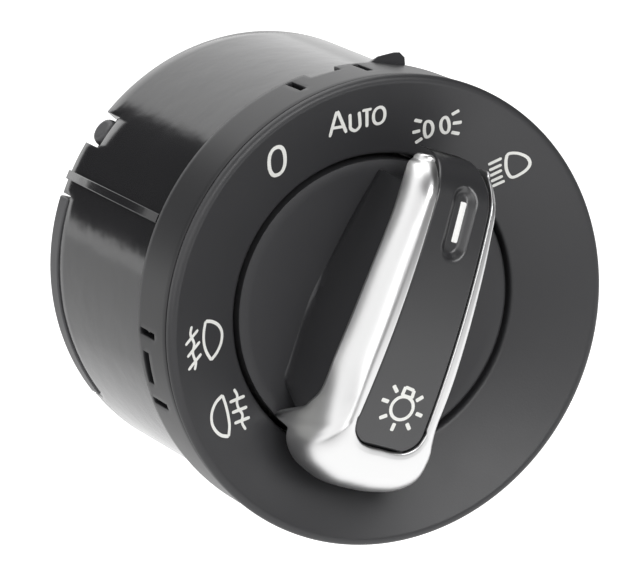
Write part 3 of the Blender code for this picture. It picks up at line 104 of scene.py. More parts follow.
def lit_by_ray(tree, plain, mirrored, seen):
    """One light for matt surfaces, one for what mirrors it, and one for the camera."""
    ray = add_node(tree, "ShaderNodeLightPath")
    glossy = add_node(
        tree,
        "ShaderNodeMath",
        {"operation": "MAXIMUM"},
        i0=ray.outputs["Is Glossy Ray"],
        i1=ray.outputs["Is Transmission Ray"],
    )
    unseen = add_node(
        tree, "ShaderNodeMixShader", Fac=glossy.outputs[0], i1=plain.outputs[0], i2=mirrored.outputs[0]
    )
    camera_ray = ray.outputs["Is Camera Ray"]
    return add_node(tree, "ShaderNodeMixShader", Fac=camera_ray, i1=unseen.outputs[0], i2=seen.outputs[0])


WHITE = linear("#ffffff")
FLAG_WAY = (-0.352, 0.873, 0.340)
world = bpy.data.worlds.new("studio")
world.use_nodes = True
bpy.context.scene.world = world
air = world.node_tree
air.nodes.clear()
heading = add_node(air, "ShaderNodeTexCoord")
axes = add_node(air, "ShaderNodeSeparateXYZ", Vector=heading.outputs["Generated"])
flag_dot = add_node(
    air, "ShaderNodeVectorMath", {"operation": "DOT_PRODUCT", 1: FLAG_WAY}, i0=heading.outputs["Generated"]
)
mirrored_light = add_node(
    air, "ShaderNodeMapRange", soft_step(-0.15, 0.3, 0.12, 1.45), Value=axes.outputs["Y"]
)
for operation, way, step in (
    ("MAXIMUM", axes.outputs["X"], soft_step(-0.75, -0.5, 1.1, 0.0)),
    ("MULTIPLY", axes.outputs["X"], soft_step(0.5, 0.7, 1.0, 0.06)),
    ("MULTIPLY", flag_dot.outputs["Value"], soft_step(0.952, 0.966, 1.0, 0.05)),
):
    part = add_node(air, "ShaderNodeMapRange", step, Value=way)
    mirrored_light = add_node(
        air, "ShaderNodeMath", {"operation": operation}, i0=mirrored_light.outputs[0], i1=part.outputs[0]
    )
plain_light = add_node(air, "ShaderNodeBackground", {"Color": WHITE, "Strength": 0.4})
glossy_light = add_node(air, "ShaderNodeBackground", {"Color": WHITE}, Strength=mirrored_light.outputs[0])
seen_light = add_node(air, "ShaderNodeBackground", {"Color": WHITE, "Strength": 1.0})
studio = lit_by_ray(air, plain_light, glossy_light, seen_light)
add_node(air, "ShaderNodeOutputWorld", Surface=studio.outputs[0])

FLOOR_Z = -0.12
FLOOR_HALF = 30.0
floor_mesh = bpy.data.meshes.new("floor")
corners = np.array([(-1, -1), (1, -1), (1, 1), (-1, 1)]) * FLOOR_HALF
floor_mesh.from_pydata(np.column_stack([corners, np.full(4, FLOOR_Z)]).tolist(), [], [(0, 1, 2, 3)])
floor = add_object("floor", floor_mesh)
paper = bpy.data.materials.new("white_background_paper")
paper.use_nodes = True
sheet = paper.node_tree
sheet.nodes.clear()
paper_place = add_node(sheet, "ShaderNodeTexCoord")
paper_axes = add_node(sheet, "ShaderNodeSeparateXYZ", Vector=paper_place.outputs["Object"])
# In a mirror the sheet is white near the switch and behind it, and dark far in front of it.
paper_far = add_node(sheet, "ShaderNodeVectorMath", {"operation": "LENGTH"}, i0=paper_place.outputs["Object"])
paper_near = add_node(
    sheet, "ShaderNodeMapRange", soft_step(0.23, 0.63, 1.25, 0.12), Value=paper_far.outputs["Value"]
)
paper_behind = add_node(
    sheet, "ShaderNodeMapRange", soft_step(-0.05, 0.1, 0.12, 1.0), Value=paper_axes.outputs["Y"]
)
paper_light = add_node(
    sheet, "ShaderNodeMath", {"operation": "MAXIMUM"}, i0=paper_near.outputs[0], i1=paper_behind.outputs[0]
)
paper_matt = add_node(sheet, "ShaderNodeBsdfDiffuse", {"Color": linear("#f2f2f2")})
paper_mirrored = add_node(sheet, "ShaderNodeEmission", {"Color": WHITE}, Strength=paper_light.outputs[0])
paper_glow = add_node(sheet, "ShaderNodeEmission", {"Color": WHITE, "Strength": 0.72})
paper_seen = add_node(sheet, "ShaderNodeAddShader", i0=paper_matt.outputs[0], i1=paper_glow.outputs[0])
paper_face = lit_by_ray(sheet, paper_matt, paper_mirrored, paper_seen)
add_node(sheet, "ShaderNodeOutputMaterial", Surface=paper_face.outputs[0])
floor_mesh.materials.append(paper)


LAMP_AWAY = 0.9


def soft_box(name, way, wide, high, radiance):
    """An oblong lamp on a way, facing the switch; its power is radiance x pi x area."""
    lamp = bpy.data.lights.new(name, "AREA")
    lamp.shape = "RECTANGLE"
    lamp.size = wide
    lamp.size_y = high
    lamp.energy = radiance * np.pi * wide * high
    box = add_object(name, lamp)
    box.location = Vector(way).normalized() * LAMP_AWAY
    box.rotation_mode = "QUATERNION"
    box.rotation_quaternion = (-box.location).to_track_quat("-Z", "Y")
    box.visible_camera = False


soft_box("key_box", (0.12, -0.84, 0.50), 0.72, 0.42, 4.8)
soft_box("left_box", (-0.62, -0.74, 0.27), 0.42, 0.60, 1.5)
soft_box("top_box", (0.05, 0.25, 1.0), 0.9, 0.6, 1.3)


# Bezel: the dished front ring, injection moulded in black ABS with a fine sparked grain. Its spigot
# sits in the mounting ring, and its collar runs round the knob.

BEZEL_R = 35.5 * MM
BEZEL_RIM_H = 11.8 * MM
BEZEL_RIM_ROUND = 0.9 * MM
BEZEL_SEAM_H = 10.4 * MM
BEZEL_HOLE_R = 22.8 * MM
BEZEL_HOLE_H = 6.95 * MM
BEZEL_WALL = 1.6 * MM
BEZEL_FACE_RIM_R = 33.7 * MM
BEZEL_FACE_RIM_H = 11.5 * MM
COLLAR_LONG = 3.5 * MM
COLLAR_WALL = 1.4 * MM
SPIGOT_LONG = 1.8 * MM
SEAT_GAP = 0.3 * MM
RING_FRONT_R = 35.3 * MM
RING_REAR_R = 35.1 * MM
RING_BORE_R = 33.9 * MM
RING_WALL = 1.3 * MM


def front(right, up, out):
    """World places of front-view ones."""
    right, up, out = np.broadcast_arrays(right, up, out)
    return np.stack([right, -out, up], -1)


def clock(radius, angle, out):
    """World places by radius and by angle in degrees, clockwise from the top."""
    turn = np.radians(angle)
    return front(radius * np.sin(turn), radius * np.cos(turn), out)


def rounded(outline, radius, steps=6):
    """A closed outline with rounded corners: each corner P is a curve (1-s)^2 A + 2s(1-s) P + s^2 B.

    A and B lie on the two sides, at the radius or 0.42 of the side from the corner. One more point
    a little past each end keeps the flat sides flat.
    """
    corner = np.asarray(outline, float)
    radius = np.broadcast_to(np.asarray(radius, float), len(corner))[:, None]
    ways = []
    for shift in (1, -1):
        side = np.roll(corner, shift, axis=0) - corner
        length = np.linalg.norm(side, axis=1, keepdims=True)
        ways.append(side / length * np.minimum(radius, 0.42 * length))
    share = np.linspace(0.0, 1.0, steps)[:, None, None]
    past = 1.12
    bend = corner + (1.0 - share) ** 2 * ways[0] + share**2 * ways[1]
    points = np.concatenate([[corner + past * ways[0]], bend, [corner + past * ways[1]]])
    return points.transpose(1, 0, 2).reshape(-1, corner.shape[1])


def quads(rows, columns, wrap_rows, wrap_columns):
    """Corner numbers of a grid's cells; a wrapped side joins the last line to the first."""
    number = np.arange(rows * columns).reshape(rows, columns)
    if wrap_rows:
        number = np.vstack([number, number[:1]])
    if wrap_columns:
        number = np.hstack([number, number[:, :1]])
    return np.stack([number[:-1, :-1], number[:-1, 1:], number[1:, 1:], number[1:, :-1]], -1)


def dress(name, mesh, material, body, replaced):
    """A piece of a mesh, smooth but for edges over 40 degrees, with its finish and its body."""
    mesh.shade_smooth()
    mesh.set_sharp_from_angle(angle=np.radians(40.0))
    mesh.materials.clear()
    mesh.materials.append(material)
    piece = add_object(name, mesh)
    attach(piece, body)
    if replaced:
        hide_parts(*replaced)
    return piece


def make_piece(name, grids, material, body, replaced=(), closed=True):
    """One welded mesh from several grids of points.

    A grid is (points, wrap_rows, wrap_columns, kept cells or None, capped or not). A closed piece
    has its faces turned outwards; an open one keeps the way its cells are numbered.
    """
    points, faces, caps, first = [], [], [], 0
    for grid, wrap_rows, wrap_columns, kept, capped in grids:
        rows, columns = grid.shape[:2]
        cells = quads(rows, columns, wrap_rows, wrap_columns) + first
        faces.append(cells[kept] if kept is not None else cells.reshape(-1, 4))
        if capped:
            caps += [[*range(first, first + columns)]]
            caps += [[*range(first + (rows - 1) * columns, first + rows * columns)]]
        points.append(grid.reshape(-1, 3))
        first += rows * columns
    mesh = bpy.data.meshes.new(name)
    mesh.from_pydata(np.concatenate(points).tolist(), [], np.concatenate(faces).tolist() + caps)
    shape = bmesh.new()
    shape.from_mesh(mesh)
    bmesh.ops.remove_doubles(shape, verts=shape.verts, dist=0.002 * MM)
    loose = [vert for vert in shape.verts if not vert.link_faces]
    bmesh.ops.delete(shape, geom=loose, context="VERTS")
    if closed:
        bmesh.ops.recalc_face_normals(shape, faces=shape.faces)
    shape.to_mesh(mesh)
    shape.free()
    return dress(name, mesh, material, body, replaced)


def lofted(points):
    """A grid of closed loops, one after another, capped at both ends."""
    return points, False, True, None, True


def turned(outline, closed=True, steps=256):
    """A grid of a (radius, out) outline carried once round the axis."""
    angle = np.linspace(0.0, 360.0, steps, endpoint=False)[:, None]
    return clock(outline[:, 0], angle, outline[:, 1]), True, closed, None, False


def noise_of(tree, wide, **settings):
    """Noise in the object's own places, its cells about as wide as given."""
    place = add_node(tree, "ShaderNodeTexCoord")
    settings["Scale"] = 1.0 / wide
    return add_node(tree, "ShaderNodeTexNoise", settings, Vector=place.outputs["Object"]).outputs[0]


def skin(name, colour, settings, roughness, uneven, cloud, grain, bump):
    """A shader whose roughness wanders with the cloud noise and whose bump is the grain noise."""
    material = bpy.data.materials.new(name)
    material.use_nodes = True
    tree = material.node_tree
    shader = tree.nodes["Principled BSDF"]
    for socket, value in {"Base Color": linear(colour), **settings}.items():
        shader.inputs[socket].default_value = value
    ends = {"To Min": roughness - uneven, "To Max": roughness + uneven}
    wander = add_node(tree, "ShaderNodeMapRange", ends, Value=noise_of(tree, **cloud))
    relief = add_node(tree, "ShaderNodeBump", bump, Height=noise_of(tree, **grain))
    tree.links.new(wander.outputs[0], shader.inputs["Roughness"])
    tree.links.new(relief.outputs[0], shader.inputs["Normal"])
    return material


def plastic(name, colour, roughness, grain, grain_deep, mottle=0.06, gloss=0.5):
    """Moulded plastic: a grain of its own width and depth, and sheen mottled every 9 mm."""
    return skin(
        name,
        colour,
        {"Specular IOR Level": gloss},
        roughness,
        mottle,
        {"wide": 9.0 * MM, "Detail": 3.0},
        {"wide": grain, "Detail": 2.0, "Roughness": 0.55},
        {"Strength": 1.0, "Distance": grain_deep},
    )


def bezel_face(radius):
    """Height of the dished face: a straight cone from the hole to the rim."""
    share = (radius - BEZEL_HOLE_R) / (BEZEL_FACE_RIM_R - BEZEL_HOLE_R)
    return BEZEL_HOLE_H + share * (BEZEL_FACE_RIM_H - BEZEL_HOLE_H)


# Black ABS from a sparked mould: matt, with a soft sheen. The grain is 0.35 mm wide, a little
# coarser than the real one, so that it shows.
bezel_abs = plastic("grained_black_abs", "#313133", 0.46, 0.35 * MM, 0.010 * MM, gloss=0.6)

rim = np.radians(np.linspace(128.0, 0.0, 14))
rim_r = BEZEL_R - BEZEL_RIM_ROUND + BEZEL_RIM_ROUND * np.cos(rim)
rim_h = BEZEL_RIM_H - BEZEL_RIM_ROUND + BEZEL_RIM_ROUND * np.sin(rim)
spigot_r = RING_BORE_R - SEAT_GAP
spigot_in_r = spigot_r - COLLAR_WALL
collar_r = BEZEL_HOLE_R + COLLAR_WALL
rear = rounded(
    [
        (BEZEL_R, rim_h[-1] - 0.1 * MM),
        (RING_FRONT_R, BEZEL_SEAM_H),
        (spigot_r, BEZEL_SEAM_H),
        (spigot_r, BEZEL_SEAM_H - SPIGOT_LONG),
        (spigot_in_r, BEZEL_SEAM_H - SPIGOT_LONG),
        (spigot_in_r, bezel_face(spigot_in_r) - BEZEL_WALL),
        (collar_r, bezel_face(collar_r) - BEZEL_WALL),
        (collar_r, BEZEL_HOLE_H - COLLAR_LONG),
        (BEZEL_HOLE_R, BEZEL_HOLE_H - COLLAR_LONG),
        (BEZEL_HOLE_R, BEZEL_HOLE_H),
    ],
    [0.02 * MM] + [0.15 * MM] * 8 + [0.6 * MM],
)
bezel_outline = np.concatenate([np.column_stack([rim_r, rim_h]), rear])
make_piece("bezel_moulding", [turned(bezel_outline)], bezel_abs, "root", ["bezel"])


# Mounting ring: a plain moulded ring behind the bezel. Slits free four snap tongues in it, and the
# windows in the tongues catch the can's noses.


def stops(keys, step):
    """Places from the first key to the last, on every key, with even steps between."""
    keys = np.unique(np.round(keys, 9))
    runs = [
        np.linspace(a, b, max(int(np.ceil((b - a) / step)), 1), endpoint=False)
        for a, b in zip(keys[:-1], keys[1:])
    ]
    return np.concatenate(runs + [keys[-1:]])


def pierced_wall(front_edge, rear_edge, openings, angle_step=1.5, height_step=2.0 * MM):
    """A cone's wall from one (radius, out) edge to the other, less the cells inside openings.

    An opening is (middle angle, half angle, lowest out, highest out). Radius is linear in out.
    """
    (front_r, front_h), (rear_r, rear_h) = front_edge, rear_edge
    seam = -150.0
    cuts = np.array(openings)
    angle = stops([seam, seam + 360.0, *(cuts[:, 0] - cuts[:, 1]), *(cuts[:, 0] + cuts[:, 1])], angle_step)
    out = stops([rear_h, front_h, *cuts[:, 2:].clip(rear_h, front_h).ravel()], height_step)
    radius = rear_r + (front_r - rear_r) * (out - rear_h) / (front_h - rear_h)
    grid = clock(radius[None], angle[:, None], out[None])
    middle_angle = (angle[1:] + angle[:-1])[:, None, None] / 2
    middle_out = (out[1:] + out[:-1])[None, :, None] / 2
    inside = abs(middle_angle - cuts[:, 0]) < cuts[:, 1]
    inside = inside & (middle_out > cuts[:, 2]) & (middle_out < cuts[:, 3])
    return grid, False, False, ~inside.any(-1), False


def round_edges(piece, radius, segments, limit):
    """Rounds a piece's edges that turn by more than the limit, in degrees."""
    bevel = piece.modifiers.new("edges", "BEVEL")
    bevel.width = radius
    bevel.segments = segments
    bevel.limit_method = "ANGLE"
    bevel.angle_limit = np.radians(limit)


def thicken(piece, wall, edge_round):
    """Gives an open wall its thickness inwards, and rounds its edges."""
    solid = piece.modifiers.new("wall", "SOLIDIFY")
    solid.thickness = wall
    solid.offset = -1.0
    round_edges(piece, edge_round, 2, 50.0)


# Glass-filled nylon, smoother than the bezel: a satin sheen with faint flow marks.
ring_nylon = plastic("satin_black_nylon", "#262628", 0.36, 0.6 * MM, 0.004 * MM, 0.03, 0.28)

TONGUE_ANGLES = (1.0, 90.7, 181.0, -90.7)
TONGUE_HALF = 9.0
SLIT_HALF = np.degrees(0.48 / 35.2)
WINDOW_HALF = 4.0
ring_openings = [
    (tongue + side * TONGUE_HALF, SLIT_HALF, 1.0 * MM, 6.0 * MM)
    for tongue in TONGUE_ANGLES
    for side in (-1, 1)
]
ring_openings += [(tongue, WINDOW_HALF, -1.0 * MM, 2.5 * MM) for tongue in TONGUE_ANGLES[::2]]
ring_openings += [(tongue, WINDOW_HALF, 1.4 * MM, 3.3 * MM) for tongue in TONGUE_ANGLES[1::2]]
ring = make_piece(
    "ring_moulding",
    [pierced_wall((RING_FRONT_R, BEZEL_SEAM_H - SEAT_GAP), (RING_REAR_R, 0.0), ring_openings)],
    ring_nylon,
    "root",
    ["mounting_ring"],
    closed=False,
)
thicken(ring, RING_WALL, 0.12 * MM)


# Housing: a deep can in glossy black ABS from a polished mould, drafted towards the rear. It has a
# rib, snap noses, a notch and two steps in its rear edge, and a slot for each latch.

CAN_FRONT = (33.6 * MM, 8.2 * MM)
CAN_REAR = (33.28 * MM, -35.3 * MM)
CAN_WALL = 1.7 * MM
PLATE_H = -3.9 * MM
PLATE_REAR_H = -5.7 * MM
HOOK_ANGLE = -40.5
NOTCH_HALF = np.degrees(2.8 / 33.3)
FLAP_ANGLE = 88.75
FLAP_HALF = 29.0
LATCH_ANGLES = (20.0, -155.0)
LATCH_HALF = np.degrees(3.35 / 33.6)
PAST_REAR_H = -36.0 * MM

# Polished black ABS: a mirror-like skin over slow waves, as thick walls sink while they cool.
can_abs = plastic("polished_black_abs", "#262628", 0.13, 5.0 * MM, 0.05 * MM, 0.03)

can_openings = [(HOOK_ANGLE, NOTCH_HALF, PAST_REAR_H, -30.7 * MM)]
can_openings += [(side * FLAP_ANGLE, FLAP_HALF, PAST_REAR_H, -32.6 * MM) for side in (-1, 1)]
can_openings += [(latch, LATCH_HALF, PLATE_H, -0.15 * MM) for latch in LATCH_ANGLES]
can = make_piece(
    "can_wall",
    [pierced_wall(CAN_FRONT, CAN_REAR, can_openings, height_step=4.0 * MM)],
    can_abs,
    "root",
    ["housing"],
    closed=False,
)
thicken(can, CAN_WALL, 0.08 * MM)


def block(low, high, angle, corner):
    """A rounded block by (across, outwards, out) corners, turned to an angle round the axis."""
    flat_corners = [(low[0], low[1]), (high[0], low[1]), (high[0], high[1]), (low[0], high[1])]
    section = rounded(flat_corners, corner, 4)
    turn = np.radians(angle)
    middle = section.mean(0)
    step = corner * np.array([0.0, 0.3, 1.0])
    out = np.concatenate([low[2] + step, high[2] - step[::-1]])
    inset = corner * np.array([1.0, 0.3, 0.0, 0.0, 0.3, 1.0])
    span = np.ptp(section, axis=0).min() / 2
    loops = middle + (section - middle) * (1.0 - inset / span)[:, None, None]
    across, away = loops[..., 0], loops[..., 1]
    grid = front(
        across * np.cos(turn) + away * np.sin(turn), away * np.cos(turn) - across * np.sin(turn), out[:, None]
    )
    return lofted(grid)


# The rib, a nose for each side window, and the plate that carries the knob's works.
RIB_ANGLE = -54.8
PLATE_R = 32.2 * MM
GUIDE_R = (22.8 * MM, 24.2 * MM)
GUIDE_REAR_H = -9.7 * MM
BOSS_R = (9.35 * MM, 11.05 * MM)
BOSS_REAR_H = -11.6 * MM
details = [block((-0.7 * MM, 32.6 * MM, -35.1 * MM), (0.7 * MM, 33.85 * MM, -2.7 * MM), RIB_ANGLE, 0.16 * MM)]
for side in (-90.0, 90.0):
    nose_low, nose_high = np.array([(-1.8, 33.0, 1.75), (1.8, 34.3, 2.95)]) * MM
    details.append(block(nose_low, nose_high, side, 0.2 * MM))
plate_outline = rounded(
    [
        (PLATE_R, PLATE_H),
        (PLATE_R, PLATE_REAR_H),
        (GUIDE_R[1], PLATE_REAR_H),
        (GUIDE_R[1], GUIDE_REAR_H),
        (GUIDE_R[0], GUIDE_REAR_H),
        (GUIDE_R[0], PLATE_REAR_H),
        (BOSS_R[1], PLATE_REAR_H),
        (BOSS_R[1], BOSS_REAR_H),
        (BOSS_R[0], BOSS_REAR_H),
        (BOSS_R[0], PLATE_H),
    ],
    0.2 * MM,
    4,
)
details.append(turned(plate_outline, steps=128))
make_piece("can_details", details, can_abs, "root")


# Rear cover: the lid, moulded in a greyer nylon than the ring. Its lips fill the steps in the can,
# its hook snaps into the notch, and the connector's socket sinks into it.

LID_R = 31.28 * MM
LID_H = -35.3 * MM
LIP_H = -35.8 * MM
SOCKET_HALF = (14.0 * MM, 5.5 * MM)
SOCKET_UP = -16.0 * MM
SOCKET_FLOOR_H = -21.3 * MM


def ring_of_ways(count):
    """Unit ways round the socket's middle, as (right, up)."""
    turn = np.linspace(0.0, 2.0 * np.pi, count, endpoint=False)
    return np.column_stack([np.sin(turn), np.cos(turn)])


def rectangle_loop(ways, half, corner):
    """Where each way leaves a rectangle; a high power mean of the sides rounds its corners."""
    power = 2.0 * half[1] / corner
    reach = (abs(ways[:, 0] / half[0]) ** power + abs(ways[:, 1] / half[1]) ** power) ** (-1.0 / power)
    return ways * reach[:, None]


def circle_loop(ways, radius):
    """Where each way from the socket's middle meets a circle about the switch's axis."""
    start = np.array([0.0, SOCKET_UP])
    along = ways @ start
    reach = np.sqrt(along**2 - start @ start + radius**2) - along
    return ways * reach[:, None]


ways = ring_of_ways(320)
socket_in = rectangle_loop(ways, SOCKET_HALF, 1.0 * MM)
socket_out = rectangle_loop(ways, (SOCKET_HALF[0] + 1.5 * MM, SOCKET_HALF[1] + 1.5 * MM), 1.6 * MM)
mouth = rectangle_loop(ways, (SOCKET_HALF[0] + 0.4 * MM, SOCKET_HALF[1] + 0.4 * MM), 1.2 * MM)
rim_loop = circle_loop(ways, LID_R)
lid_rows = [
    (socket_in * 0.0, SOCKET_FLOOR_H),
    (socket_in * 0.96, SOCKET_FLOOR_H),
    (socket_in * 0.995, SOCKET_FLOOR_H - 0.1 * MM),
    (socket_in, SOCKET_FLOOR_H - 0.4 * MM),
    (socket_in, LID_H + 0.5 * MM),
    (socket_in * 0.6 + mouth * 0.4, LID_H + 0.15 * MM),
    (mouth, LID_H),
    (mouth * 1.02, LID_H),
    (mouth * 0.02 + rim_loop * 0.98, LID_H),
    (circle_loop(ways, LID_R - 0.25 * MM), LID_H),
    (circle_loop(ways, LID_R - 0.07 * MM), LID_H + 0.07 * MM),
    (rim_loop, LID_H + 0.25 * MM),
    (rim_loop, LID_H + 2.0 * MM),
    (socket_out, LID_H + 2.0 * MM),
    (socket_out, SOCKET_FLOOR_H + 1.5 * MM),
    (socket_out * 0.0, SOCKET_FLOOR_H + 1.5 * MM),
]
lid_grid = np.stack([front(loop[:, 0], loop[:, 1] + SOCKET_UP, out) for loop, out in lid_rows])


def arc_block(inner, outer, low, high, middle, half, corner):
    """A rounded (radius, out) section carried along an arc, drawn in at both ends."""
    section = rounded([(inner, low), (inner, high), (outer, high), (outer, low)], corner, 5)
    centre = section.mean(0)
    angle = np.array([-half, -half + 0.15, -half + 0.5, *np.linspace(-half + 0.6, half - 0.6, 60)])
    angle = np.concatenate([angle, -angle[2::-1]])
    size = np.ones(len(angle))
    size[:3] = (0.72, 0.92, 1.0)
    size[-3:] = (1.0, 0.92, 0.72)
    loops = centre + (section - centre) * size[:, None, None]
    return lofted(clock(loops[..., 0], (middle + angle)[:, None], loops[..., 1]))


cover_grids = [(lid_grid, False, True, None, False)]
for side in (-1, 1):
    cover_grids.append(
        arc_block(29.0 * MM, 33.43 * MM, LIP_H, -32.9 * MM, side * FLAP_ANGLE, 28.4, 0.35 * MM)
    )
HOOK_HALF = 2.2 * MM
HOOK_IN_R = 29.2 * MM
HOOK_R = 33.25 * MM
hook_outline = rounded(
    [(0.0, HOOK_IN_R), (HOOK_HALF, HOOK_IN_R), (HOOK_HALF, HOOK_R), (0.0, HOOK_R)],
    [0.0001 * MM, 0.2 * MM, 2.0 * MM, 0.0001 * MM],
    7,
)
hook_turn = np.linspace(0.0, 2.0 * np.pi, 40, endpoint=False)[:, None]
hook_across = hook_outline[:, 0] * np.cos(hook_turn)
hook_way = np.radians(HOOK_ANGLE)
hook_grid = front(
    hook_across * np.cos(hook_way) + hook_outline[:, 1] * np.sin(hook_way),
    hook_outline[:, 1] * np.cos(hook_way) - hook_across * np.sin(hook_way),
    LID_H + 1.9 * MM + hook_outline[:, 0] * np.sin(hook_turn),
)
cover_grids.append((hook_grid, True, False, None, False))
cover_nylon = plastic("grey_black_nylon", "#4a4a4c", 0.42, 0.5 * MM, 0.006 * MM)
make_piece("cover_lid", cover_grids, cover_nylon, "root", ["rear_cover"])


# Terminals: ten blades in two rows, pressed through the circuit board and out into the socket. They
# are stamped from tinned brass, with their tips coined to a taper.


def metal(name, colour, roughness, streak, uneven=0.05):
    """Bare metal: its roughness varies with noise of the streak's size, and a faint bump follows."""
    noise = {"wide": streak, "Detail": 3.0}
    bump = {"Strength": 0.2, "Distance": 0.0001 * MM}
    return skin(name, colour, {"Metallic": 1.0}, roughness, uneven, noise, noise, bump)


BLADE_PITCH = 5.2 * MM
BLADE_ROW_PITCH = 5.6 * MM
tinned_brass = metal("tinned_brass", "#d8d4c8", 0.28, 0.8 * MM)
blade_rows = np.array([(-18.7, 1.0), (-30.0, 1.0), (-30.8, 0.86), (-31.25, 0.55), (-31.3, 0.5)]) * (MM, 1.0)
blade_loop = rounded([(-1.4, -0.4), (1.4, -0.4), (1.4, 0.4), (-1.4, 0.4)], 0.08, 3) * MM
for number in range(10):
    column, row = number % 5 - 2, number // 5
    middle = np.array([column * BLADE_PITCH, SOCKET_UP + (0.5 - row) * BLADE_ROW_PITCH])
    taper = np.stack([0.5 + 0.5 * blade_rows[:, 1], blade_rows[:, 1]], -1)[:, None, :]
    loops = middle + blade_loop * taper
    blade = [lofted(front(loops[..., 0], loops[..., 1], blade_rows[:, :1]))]
    name, node = f"blade_{number + 1:02d}", f"terminal_{number + 1:02d}"
    make_piece(name, blade, tinned_brass, "root", [node])


# Latches: black nylon slides whose noses stand out behind the ring and hold the switch in the
# dash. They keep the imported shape, with its moulded edges rounded.

latch_nylon = plastic("latch_black_nylon", "#3a3a3c", 0.36, 0.5 * MM, 0.005 * MM)


def rounded_copy(node, name, material, body, edge_round):
    """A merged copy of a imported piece, flat faces joined and edges rounded."""
    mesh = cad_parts[node].data.copy()
    mesh.name = name
    shape = bmesh.new()
    shape.from_mesh(mesh)
    bmesh.ops.remove_doubles(shape, verts=shape.verts, dist=0.002 * MM)
    bmesh.ops.dissolve_limit(
        shape, angle_limit=np.radians(0.5), verts=list(shape.verts), edges=list(shape.edges)
    )
    shape.to_mesh(mesh)
    shape.free()
    round_edges(dress(name, mesh, material, body, [node]), edge_round, 3, 20.0)


for side in ("upper", "lower"):
    name = f"latch_slide_{side}"
    rounded_copy(f"latch_{side}", name, latch_nylon, f"{side}_latch", 0.45 * MM)


# Knob: a dished disc with its skirt and stem, and the dark grip across it, moulded in one in the
# bezel's matt ABS.

KNOB_ANGLE = np.radians(29.7)
KNOB_R = 21.95 * MM
KNOB_FACE_H = 6.9 * MM
DISH_R = 21.0 * MM
DISH_DEEP = 0.7 * MM
DISC_UNDER_H = 4.9 * MM
SKIRT_IN_R = 20.6 * MM
SKIRT_REAR_H = -1.0 * MM
STEM_R = 6.0 * MM
STEM_REAR_H = -28.4 * MM
NECK_R = 4.6 * MM
NECK_FRONT_H = -24.8 * MM
NECK_REAR_H = -26.6 * MM
GRIP_TOP_H = 24.6 * MM
GRIP_REACH = 26.0 * MM
GRIP_CROWN_SAG = 3.04 * MM
GRIP_CROWN_V = 4.0 * MM
NOSE_START = 18.5 * MM
NOSE_LONG = 6.4 * MM
NOSE_DROP = 7.6 * MM
INSERT_HALF = 5.6 * MM
INSERT_TAPER = 1.4 * MM
INSERT_START = -18.4 * MM
INSERT_LONG = 43.1 * MM
INSERT_SUNK = 0.35 * MM
INSERT_THICK = 1.2 * MM
TRIM_THICK = 1.3 * MM
PARTS = 10


def on_knob(across, along, out):
    """World places of the knob's own ones: across the grip, along it to the pointer, and out."""
    c, s = np.cos(KNOB_ANGLE), np.sin(KNOB_ANGLE)
    return front(across * c + along * s, along * c - across * s, out)


def grip_top(along):
    """Crowned top: a shallow parabola about 4 mm, less a quarter ellipse at the pointer's nose."""
    past = ((along - NOSE_START) / NOSE_LONG).clip(0.0, 1.0)
    crown = GRIP_TOP_H - GRIP_CROWN_SAG * ((along - GRIP_CROWN_V) / GRIP_REACH) ** 2
    return crown - NOSE_DROP * (1.0 - np.sqrt(1.0 - past**2))


def insert_half(along):
    """Half the insert's width, tapering evenly from the bow to the nose."""
    return INSERT_HALF - INSERT_TAPER * (along - INSERT_START) / INSERT_LONG


def smooth_line(points, parts):
    """A curve through points, its slope at each one half the chord between that one's neighbours."""
    points = np.asarray(points, float)
    padded = np.vstack([2 * points[0] - points[1], points, 2 * points[-1] - points[-2]])
    a, b, c, d = padded[:-3], padded[1:-2], padded[2:-1], padded[3:]
    t = np.linspace(0.0, 1.0, parts, endpoint=False)[:, None, None]
    curve = (2 * b + (c - a) * t + (2 * a - 5 * b + 4 * c - d) * t**2 + (3 * b - a - 3 * c + d) * t**3) / 2
    return np.vstack([curve.transpose(1, 0, 2).reshape(-1, points.shape[1]), points[-1:]])


# The trim's inner edge, in mm: a round corner at the bow, then a leg a little off the insert.
BOW_CORNER = (2.2, -15.0)
BOW_ROUND = 3.7
bow_turn = np.radians([-90.0, -60.0, -30.0, 0.0])
bow = np.column_stack([np.cos(bow_turn), np.sin(bow_turn)]) * BOW_ROUND + BOW_CORNER
leg_v = np.array([-14.2, -13.0, -11.6, -9.8, -5.8, 0.0, 8.0, 15.0, 19.5, 22.2, 23.7])
leg = np.column_stack([insert_half(leg_v * MM) / MM + 0.3, leg_v])
inner_edge = smooth_line(np.vstack([(0.0, -18.7), bow, leg]) * MM, PARTS)

# The trim's lower edges as (away from the grip's middle, along, height) in mm: the bow, the foot on
# the disc, the rising flank and the nose. The left leg leans out more than the right one.
LEFT_EDGE = [
    (0.0, -26.65, 11.5), (2.8, -26.45, 11.5), (5.4, -25.6, 11.4), (7.9, -24.3, 11.3),
    (9.6, -22.3, 11.2), (10.1, -20.2, 11.2), (10.0, -18.1, 12.2), (9.9, -15.6, 14.4),
    (9.9, -12.7, 16.9), (10.3, -7.4, 18.4), (10.0, -1.0, 19.0), (9.5, 7.3, 19.4),
    (8.75, 14.6, 19.1), (8.3, 19.6, 18.3), (7.8, 22.3, 17.4), (6.9, 23.3, 16.9),
]
RIGHT_EDGE = [
    (0.0, -26.65, 11.5), (3.6, -26.5, 11.5), (7.4, -25.7, 11.5), (10.1, -24.0, 11.2),
    (10.9, -21.6, 10.2), (10.8, -19.0, 9.4), (10.1, -16.6, 9.8), (9.4, -14.3, 11.6),
    (9.0, -11.8, 13.3), (8.9, -7.3, 14.5), (8.6, -1.7, 15.0), (7.9, 6.0, 15.3),
    (6.9, 13.2, 15.5), (6.2, 18.4, 15.4), (5.9, 21.4, 14.8), (5.6, 23.0, 14.2),
]
